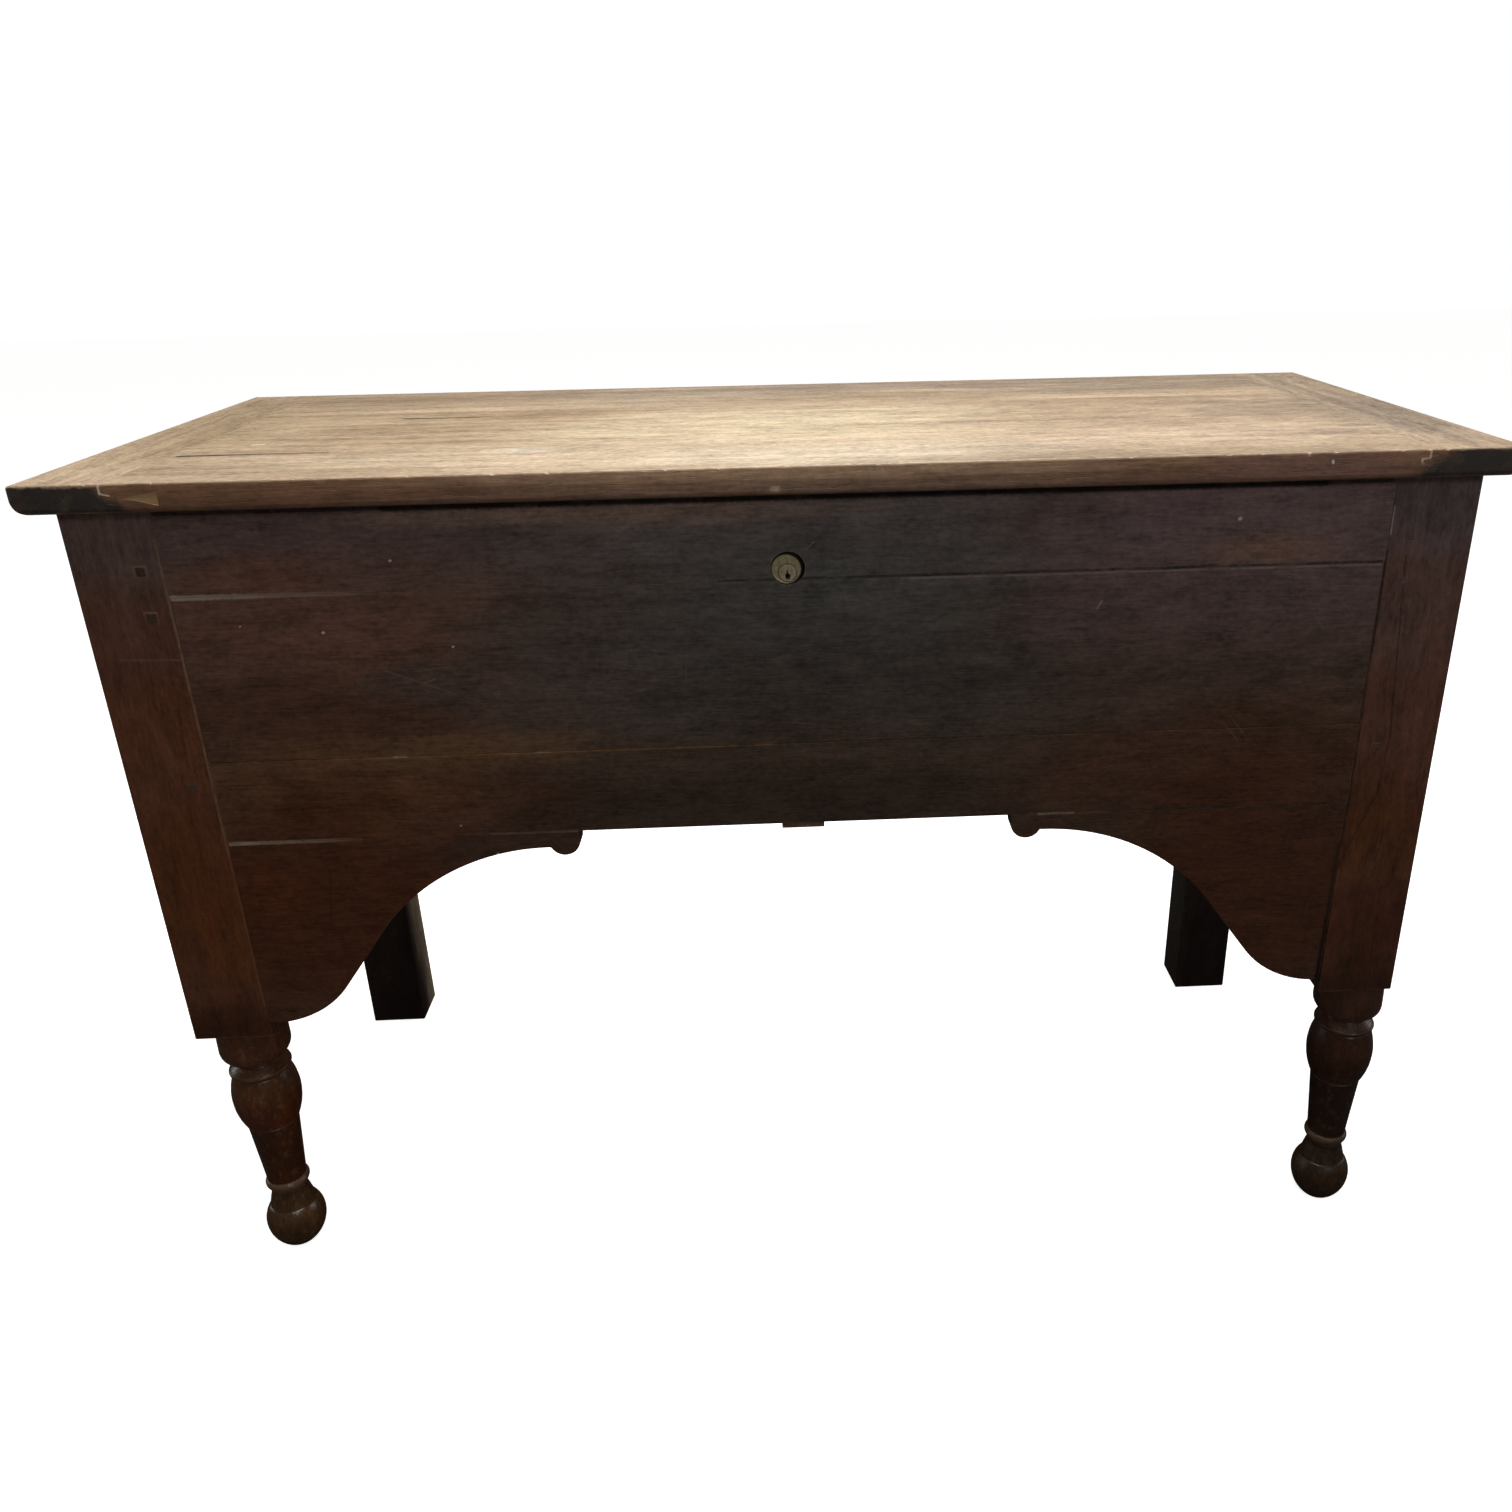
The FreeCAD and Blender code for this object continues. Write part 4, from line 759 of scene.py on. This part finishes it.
right_foot_blocks = [foot_block(*row) for row in (
    (0.2487, 0.2950, (0.052, 0.018, 0.0085)), (0.2290, 0.2487, (0.060, 0.026, 0.014)),
    (0.1665, 0.2290, (0.024, 0.006, 0.0015)), (0.2030, 0.2320, (0.040, 0.012, 0.0045), 0.0150),
    (0.0910, 0.1665, (0.015, 0.0045, 0.0012)), (0.0770, 0.0905, (0.065, 0.039, 0.019)),
    (-0.01, 0.0770, (0.026, 0.0130, 0.0038)))]
foot_grooves = (0.0532, 0.0800, 0.0912, 0.1662, 0.2298, 0.2440)
crack = [(0.5516, 0.7548), (0.5641, 0.5816), (0.5608, 0.5211), (0.5419, 0.4677), (0.5335, 0.440)]
post_rim = tone(0.21, 0.135, 0.090)
post_lines = [front_line(*row) for row in (
    ((-0.5340, 0.80), (-0.5340, 0.50), 0.0018, post_rim, 0.7, 0.5, 0.3),
    ((-0.5340, 0.52), (-0.5340, 0.33), 0.0018, tone(0.15, 0.062, 0.022), 0.6, 0.6, 0.0),
    ((-0.588, 0.695), (-0.534, 0.6935), 0.0012, tone(0.16, 0.10, 0.075), 0.7, 0.3, 0.0),
    ((0.5340, 0.76), (0.5340, 0.47), 0.0016, dark_joint_and_lid_shadow, 0.7, 0.5, 0.0),
    ((0.5345, 0.800), (0.5345, 0.775), 0.0009, tone(0.40, 0.32, 0.27), 0.7, 0.3, 0.0))]
peg_across = -0.552
peg_left = peg_across - 0.0052
peg_right = peg_across + 0.0052
for peg_up in (0.773, 0.732):
    high = peg_up + 0.0052
    low = peg_up - 0.0050
    post_lines += [front_line((peg_left, high), (peg_right, high), 0.0014, post_rim, 0.8, 0.4, 0.2),
                   front_line((peg_right, high), (peg_right, low), 0.0012, post_rim, 0.6, 0.5, 0.4),
                   front_line((peg_left, peg_up + 0.0050), (peg_left, low), 0.0012, post_rim, 0.5, 0.6, 0.4)]
for start, end in zip(crack, crack[1:]):
    post_lines.append(front_line(start, end, 0.0014, tone(0.020, 0.010, 0.006), 0.6, 0.5, 0.0))
post_look = {
    "middle": tone(0.092, 0.0340, 0.0160), "light": tone(0.112, 0.0410, 0.0200),
    "worn": tone(0.260, 0.140, 0.075), "patches": post_patches, "lines": post_lines,
    "gloss": 0.42, "rough": 0.31, "figure": (0.9, 0.4, 1.1, 1.4, 0.04), "bare from": bare_above, "wear": 0.35,
    "grooves": foot_grooves}
left_post_look = dict(post_look, blocks=left_foot_blocks, scuffs=0.34, gloss=0.48, rough=0.23)
right_post_look = dict(post_look, blocks=right_foot_blocks, scuffs=0.16)
# Painted shade: the rear legs' base tones are near black for the shade under the chest on their front and
# inner faces; the blocks give their back and outer faces the finish's own tone.
rear_shade_and_finish_look = {
    "middle": tone(0.012, 0.0055, 0.0045), "light": tone(0.020, 0.0095, 0.0070),
    "worn": tone(0.090, 0.060, 0.040), "patches": [
        ((-0.532, 0.272, 0.12), (0.030, 0.065, 0.40), tone(0.300, 0.225, 0.150), 0.85),
        ((0.532, 0.23, 0.12), (0.024, 0.3, 0.36), tone(0.030, 0.024, 0.018), 0.7)],
    "gloss": 0.3, "rough": 0.5, "bare from": bare_above, "wear": 0.4, "blocks": [
        ((-1, back_high.y - 0.0010, 0), (1, 1, 1), 0.0006, tone(0.055, 0.032, 0.022)),
        ((half_width - 0.0010, 0, 0), (1, 1, 1), 0.0006, tone(0.052, 0.029, 0.019)),
        ((-1, 0, 0), (0.0010 - half_width, 1, 1), 0.0006, tone(0.052, 0.029, 0.019))]}
peg_look = {
    "middle": tone(0.062, 0.0360, 0.0240), "light": tone(0.080, 0.0460, 0.0310),
    "worn": tone(0.180, 0.120, 0.080), "gloss": 0.3, "rough": 0.5, "ring spacing": 0.0016,
    "reach": 0.001, "wear": 0.5,
    "patches": [((0.552, case_front, 0.750), (0.05, 0.3, 0.10), tone(0.088, 0.058, 0.056), 0.95)]}
lid_patches = [lid_patch(*row) for row in (
    # Partly painted sheen: this bright patch in the middle of the top stands for the lamp's glare as well as
    # a lighter tone of the wood.
    (-0.02, -0.05, 0.36, 0.17, (0.520, 0.430, 0.294), 0.85),
    (-0.10, -0.19, 0.45, 0.09, (0.49, 0.390, 0.280), 0.7),
    (0.05, -0.22, 0.28, 0.07, (0.500, 0.420, 0.315), 0.8),
    (0.38, -0.18, 0.25, 0.09, (0.47, 0.365, 0.265), 0.7),
    (0.45, 0.20, 0.36, 0.10, (0.245, 0.195, 0.145), 0.7),
    (-0.15, 0.165, 0.32, 0.08, (0.270, 0.215, 0.155), 0.75),
    (0.50, -0.175, 0.05, 0.020, (0.270, 0.200, 0.150), 0.6),
    (0.20, -0.21, 0.10, 0.012, (0.30, 0.240, 0.180), 0.6),
    (-0.42, 0.20, 0.36, 0.09, (0.205, 0.147, 0.097), 0.7),
    (-0.57, 0.00, 0.12, 0.30, (0.27, 0.198, 0.122), 0.7),
    (-0.35, 0.00, 0.32, 0.26, (0.330, 0.243, 0.148), 0.4),
    (-0.24, 0.055, 0.12, 0.050, (0.250, 0.175, 0.105), 0.65),
    (-0.235, -0.165, 0.05, 0.022, (0.520, 0.460, 0.370), 0.6),
    (-0.36, -0.015, 0.13, 0.035, (0.265, 0.185, 0.112), 0.55),
    (-0.30, -0.105, 0.10, 0.025, (0.270, 0.190, 0.118), 0.5),
    (-0.05, 0.10, 0.14, 0.030, (0.285, 0.215, 0.140), 0.55),
    (-0.40, -0.20, 0.10, 0.030, (0.430, 0.345, 0.245), 0.5),
    (0.34, 0.150, 0.24, 0.060, (0.260, 0.205, 0.150), 0.6),
    (0.59, 0.00, 0.08, 0.26, (0.240, 0.190, 0.142), 0.7),
    (0.60, -0.10, 0.05, 0.20, (0.225, 0.175, 0.135), 0.8),
    (0.50, -0.02, 0.13, 0.09, (0.235, 0.178, 0.128), 0.8),
    (0.10, 0.225, 0.56, 0.050, (0.195, 0.155, 0.120), 0.8))]
hairline = tone(0.016, 0.010, 0.006)
lid_lines = [lid_line(*row) for row in (
    ((-0.545, lid_seam_1), (-0.415, lid_seam_1), 0.0046, hairline, 0.95, 0.1, 0.5),
    ((-0.500, lid_seam_2), (-0.30, lid_seam_2), 0.0040, hairline, 0.35, 0.9, 0.4),
    ((-0.398, lid_seam_2 - 0.034), (-0.321, lid_seam_2 - 0.034), 0.0042, hairline, 0.95, 0.2, 0.4),
    ((0.330, -0.020), (0.400, 0.010), 0.0012, tone(0.20, 0.15, 0.11), 0.5, 0.6, 0.0),
    ((-0.500, -0.095), (-0.490, -0.093), 0.0022, tone(0.75, 0.66, 0.55), 0.8, 0.2, 0.0))]
lid_edge_patches = [
    ((0.02, lid_front, 0.833), (0.46, 0.1, 0.014), tone(0.205, 0.125, 0.085), 0.8),
    ((0.02, lid_front, 0.849), (0.44, 0.1, 0.012), tone(0.430, 0.285, 0.178), 0.8),
    ((0.45, lid_front, 0.842), (0.14, 0.1, 0.03), tone(0.190, 0.102, 0.082), 0.6),
    ((-0.0077, lid_front, 0.834), (0.006, 0.1, 0.004), tone(0.42, 0.32, 0.22), 0.9)]
pale = tone(0.62, 0.54, 0.46)
chip_tone = tone(0.40, 0.25, 0.12)
lid_edge_lines = [front_line(*row, front=lid_front) for row in (
    ((-0.5582, 0.8530), (-0.5585, 0.8449), 0.0014, pale, 0.9, 0.2, 0.0),
    ((-0.5585, 0.8449), (-0.5509, 0.8430), 0.0011, pale, 0.9, 0.2, 0.2),
    ((0.5480, 0.8530), (0.5480, 0.8452), 0.0012, pale, 0.9, 0.2, 0.0),
    ((0.5480, 0.8452), (0.5412, 0.8446), 0.0010, pale, 0.9, 0.1, 0.0),
    ((0.5412, 0.8446), (0.5416, 0.8404), 0.0010, pale, 0.8, 0.1, 0.0),
    ((0.5416, 0.8404), (0.5490, 0.8392), 0.0016, tone(0.20, 0.15, 0.12), 0.8, 0.2, 0.5),
    ((0.553, 0.8450), (0.574, 0.8440), 0.0050, tone(0.070, 0.052, 0.038), 0.7, 0.6, 0.3),
    ((0.4425, 0.8513), (0.4430, 0.8505), 0.0016, pale, 0.9, 0.0, 0.0),
    ((0.4641, 0.8449), (0.4645, 0.8435), 0.0016, pale, 0.9, 0.0, 0.0))]


def finish(node, material):
    """Gives every slot of a node one material."""
    for slot in frame["nodes"][node].material_slots:
        slot.material = material


# Each board's grain axis, a place on its pith line once the grain is turned along X, and its look
stained_boards = [
    ("front_top_rail", "x", (0.3, 0.05, 0.74), front_look),
    ("front_upper_board", "x", (-0.7, -0.16, 0.69), front_look),
    ("front_lower_board", "x", (0.9, -0.19, 0.60), front_look),
    ("front_left_bracket", "x", (1.4, -0.20, 0.30), front_look),
    ("front_right_bracket", "x", (-1.9, -0.18, 0.34), front_look),
    ("back_upper_board", "x", (2.2, 0.32, 0.71), back_look),
    ("back_lower_board", "x", (-2.6, 0.34, 0.58), back_look),
    ("left_side_upper_board", "y", (0.4, -0.66, 0.72), side_look),
    ("left_side_lower_board", "y", (-0.6, -0.69, 0.60), side_look),
    ("right_side_upper_board", "y", (1.1, 0.67, 0.78), side_look),
    ("right_side_lower_board", "y", (-1.3, 0.68, 0.57), side_look),
    ("front_left_leg", "z", (0.2, -0.150, -0.62), left_post_look),
    ("front_right_leg", "z", (-0.5, -0.160, 0.63), right_post_look),
    ("rear_left_leg", "z", (0.8, 0.30, -0.60), rear_shade_and_finish_look),
    ("rear_right_leg", "z", (-1.1, 0.29, 0.64), rear_shade_and_finish_look),
    ("front_pegs", "y", (0.1, 0.0, 0.75), peg_look),
    ("back_pegs", "y", (0.2, 0.0, 0.75), peg_look),
    ("left_side_pegs", "x", (0.1, 0.0, 0.75), peg_look),
    ("right_side_pegs", "x", (0.2, 0.0, 0.75), peg_look)]
lid_boards = [
    ("lid_front_board", "x", (0.5, -0.22, 0.80)), ("lid_middle_board", "x", (-1.2, -0.02, 0.79)),
    ("lid_rear_board", "x", (1.7, 0.18, 0.81)), ("lid_left_end", "y", (0.3, 0.60, 0.80)),
    ("lid_right_end", "y", (-0.8, -0.61, 0.79))]
inner_boards = [
    ("floor_front_board", "x", (0.4, -0.15, 0.48)), ("floor_middle_board", "x", (-0.9, 0.02, 0.47)),
    ("floor_rear_board", "x", (1.5, 0.17, 0.49)), ("centre_batten", "y", (0.6, 0.02, 0.44)),
    ("divider", "y", (-0.5, 0.03, 0.66))]
for node, along, pith, look in stained_boards:
    finish(node, stained_wood(node, along, pith, look))
for node, along, pith in lid_boards:
    finish(node, lid_wood(node, along, pith))
for node, along, pith in inner_boards:
    finish(node, inner_wood(node, along, pith))

old_iron = metal("old iron", tone(0.030, 0.024, 0.020), tone(0.070, 0.056, 0.046), tone(0.070, 0.030, 0.014),
                 0.5, 0.75)
dull_brass = metal("dull brass", tone(0.250, 0.205, 0.125), tone(0.420, 0.350, 0.225),
                   tone(0.170, 0.135, 0.080), 0.40, 0.4)
plug_brass = metal("plug brass", tone(0.400, 0.330, 0.225), tone(0.560, 0.470, 0.330),
                   tone(0.300, 0.240, 0.155), 0.40, 0.4)
cylinder_brass = metal("brass in the bore", tone(0.320, 0.270, 0.150), tone(0.470, 0.400, 0.235),
                       tone(0.260, 0.215, 0.115), 0.40, 0.4, in_bore=True)
for part in frame["record"]["subparts"]:
    if part["material_slot"] == "iron":
        finish(part["node"], old_iron)
    elif part["material_slot"] == "lock_brass":
        finish(part["node"], dull_brass)
finish("lock_cylinder", cylinder_brass)
finish("lock_plug", plug_brass)


# Softened arrises


def soften(node, width):
    """Rounds a node's sharp edges a little."""
    piece = frame["nodes"][node]
    weld = piece.modifiers.new("joined corners", "WELD")
    weld.merge_threshold = 0.00001
    flat = piece.modifiers.new("whole faces", "DECIMATE")
    flat.decimate_type = "DISSOLVE"
    flat.angle_limit = math.radians(0.6)
    arris = piece.modifiers.new("soft arris", "BEVEL")
    arris.width = width
    arris.segments = 2
    arris.limit_method = "ANGLE"
    arris.angle_limit = math.radians(40)


for node, *_ in stained_boards:
    if "pegs" in node:
        soften(node, peg_arris)
    elif node in ("rear_left_leg", "rear_right_leg"):
        soften(node, inner_arris)
    elif "leg" not in node:
        soften(node, board_arris)
for node, *_ in lid_boards:
    soften(node, lid_arris)
for node, *_ in inner_boards:
    soften(node, inner_arris)
soften("lock_plug", plug_arris)
soften("lock_cylinder", cylinder_arris)


# Wear that has taken wood away


def solid(name, corners, faces):
    """A closed shape that is cut out of a piece, and isn't seen itself."""
    mesh = bpy.data.meshes.new(name)
    mesh.from_pydata(corners, [], faces)
    shape = bmesh.new()
    shape.from_mesh(mesh)
    bmesh.ops.recalc_face_normals(shape, faces=shape.faces)
    shape.to_mesh(mesh)
    shape.free()
    cutter = bpy.data.objects.new(name, mesh)
    bpy.context.scene.collection.objects.link(cutter)
    cutter.hide_render = True
    cutter.hide_viewport = True
    return cutter


def cut_away(node, cutter):
    cut = frame["nodes"][node].modifiers.new(cutter.name, "BOOLEAN")
    cut.operation = "DIFFERENCE"
    cut.solver = "EXACT"
    cut.object = cutter


def prism(name, outline, front, depths):
    """A flat shape in X and Z, standing out at the front and sunk to a depth at each of its corners."""
    count = len(outline)
    corners = [(across, front - 0.004, up) for across, up in outline]
    corners += [(across, front + depth, up) for (across, up), depth in zip(outline, depths)]
    faces = [tuple(range(count)), tuple(reversed(range(count, 2 * count)))]
    for i in range(count):
        after = (i + 1) % count
        faces.append((i, i + count, after + count, after))
    return solid(name, corners, faces)


def nicks_along_lid_edge():
    """Small bites out of the lid's upper front arris."""
    random.seed(7)
    corners = []
    faces = []
    across = -0.62
    while across < 0.61:
        reach = random.uniform(0.002, 0.010)
        deep = random.uniform(0.0005, 0.0019)
        across += reach
        middle = (across, lid_front, lid_top)
        first = len(corners)
        for step in ((-reach, 0, 0), (reach, 0, 0), (0, -1.6 * deep, 0), (0, 1.6 * deep, 0),
                     (0, 0, -deep), (0, 0, deep)):
            corners.append(tuple(middle[i] + step[i] for i in range(3)))
        for face in ((0, 2, 4), (2, 1, 4), (1, 3, 4), (3, 0, 4), (2, 0, 5), (1, 2, 5), (3, 1, 5), (0, 3, 5)):
            faces.append(tuple(first + corner for corner in face))
        across += reach + random.uniform(0.0005, 0.012)
    return solid("edge_nicks", corners, faces)


chip_outline = [(-0.5427, 0.8403), (-0.5310, 0.8430), (-0.5125, 0.8461), (-0.5129, 0.8338), (-0.5280, 0.8378)]
cut_away("lid_front_board", prism("chipped_face", chip_outline, lid_front,
                                  (0.0003, 0.0008, 0.0016, 0.0016, 0.0010)))
nicks = nicks_along_lid_edge()
for node in ("lid_front_board", "lid_left_end", "lid_right_end"):
    cut_away(node, nicks)
joint_outline = [(0.5340, 0.300), (0.5340, 0.448), (0.5329, 0.448), (0.5314, 0.300)]
cut_away("front_right_bracket", prism("open_joint", joint_outline, case_front, (0.008,) * 4))

make_camera()
light_the_room()
lay_floor()
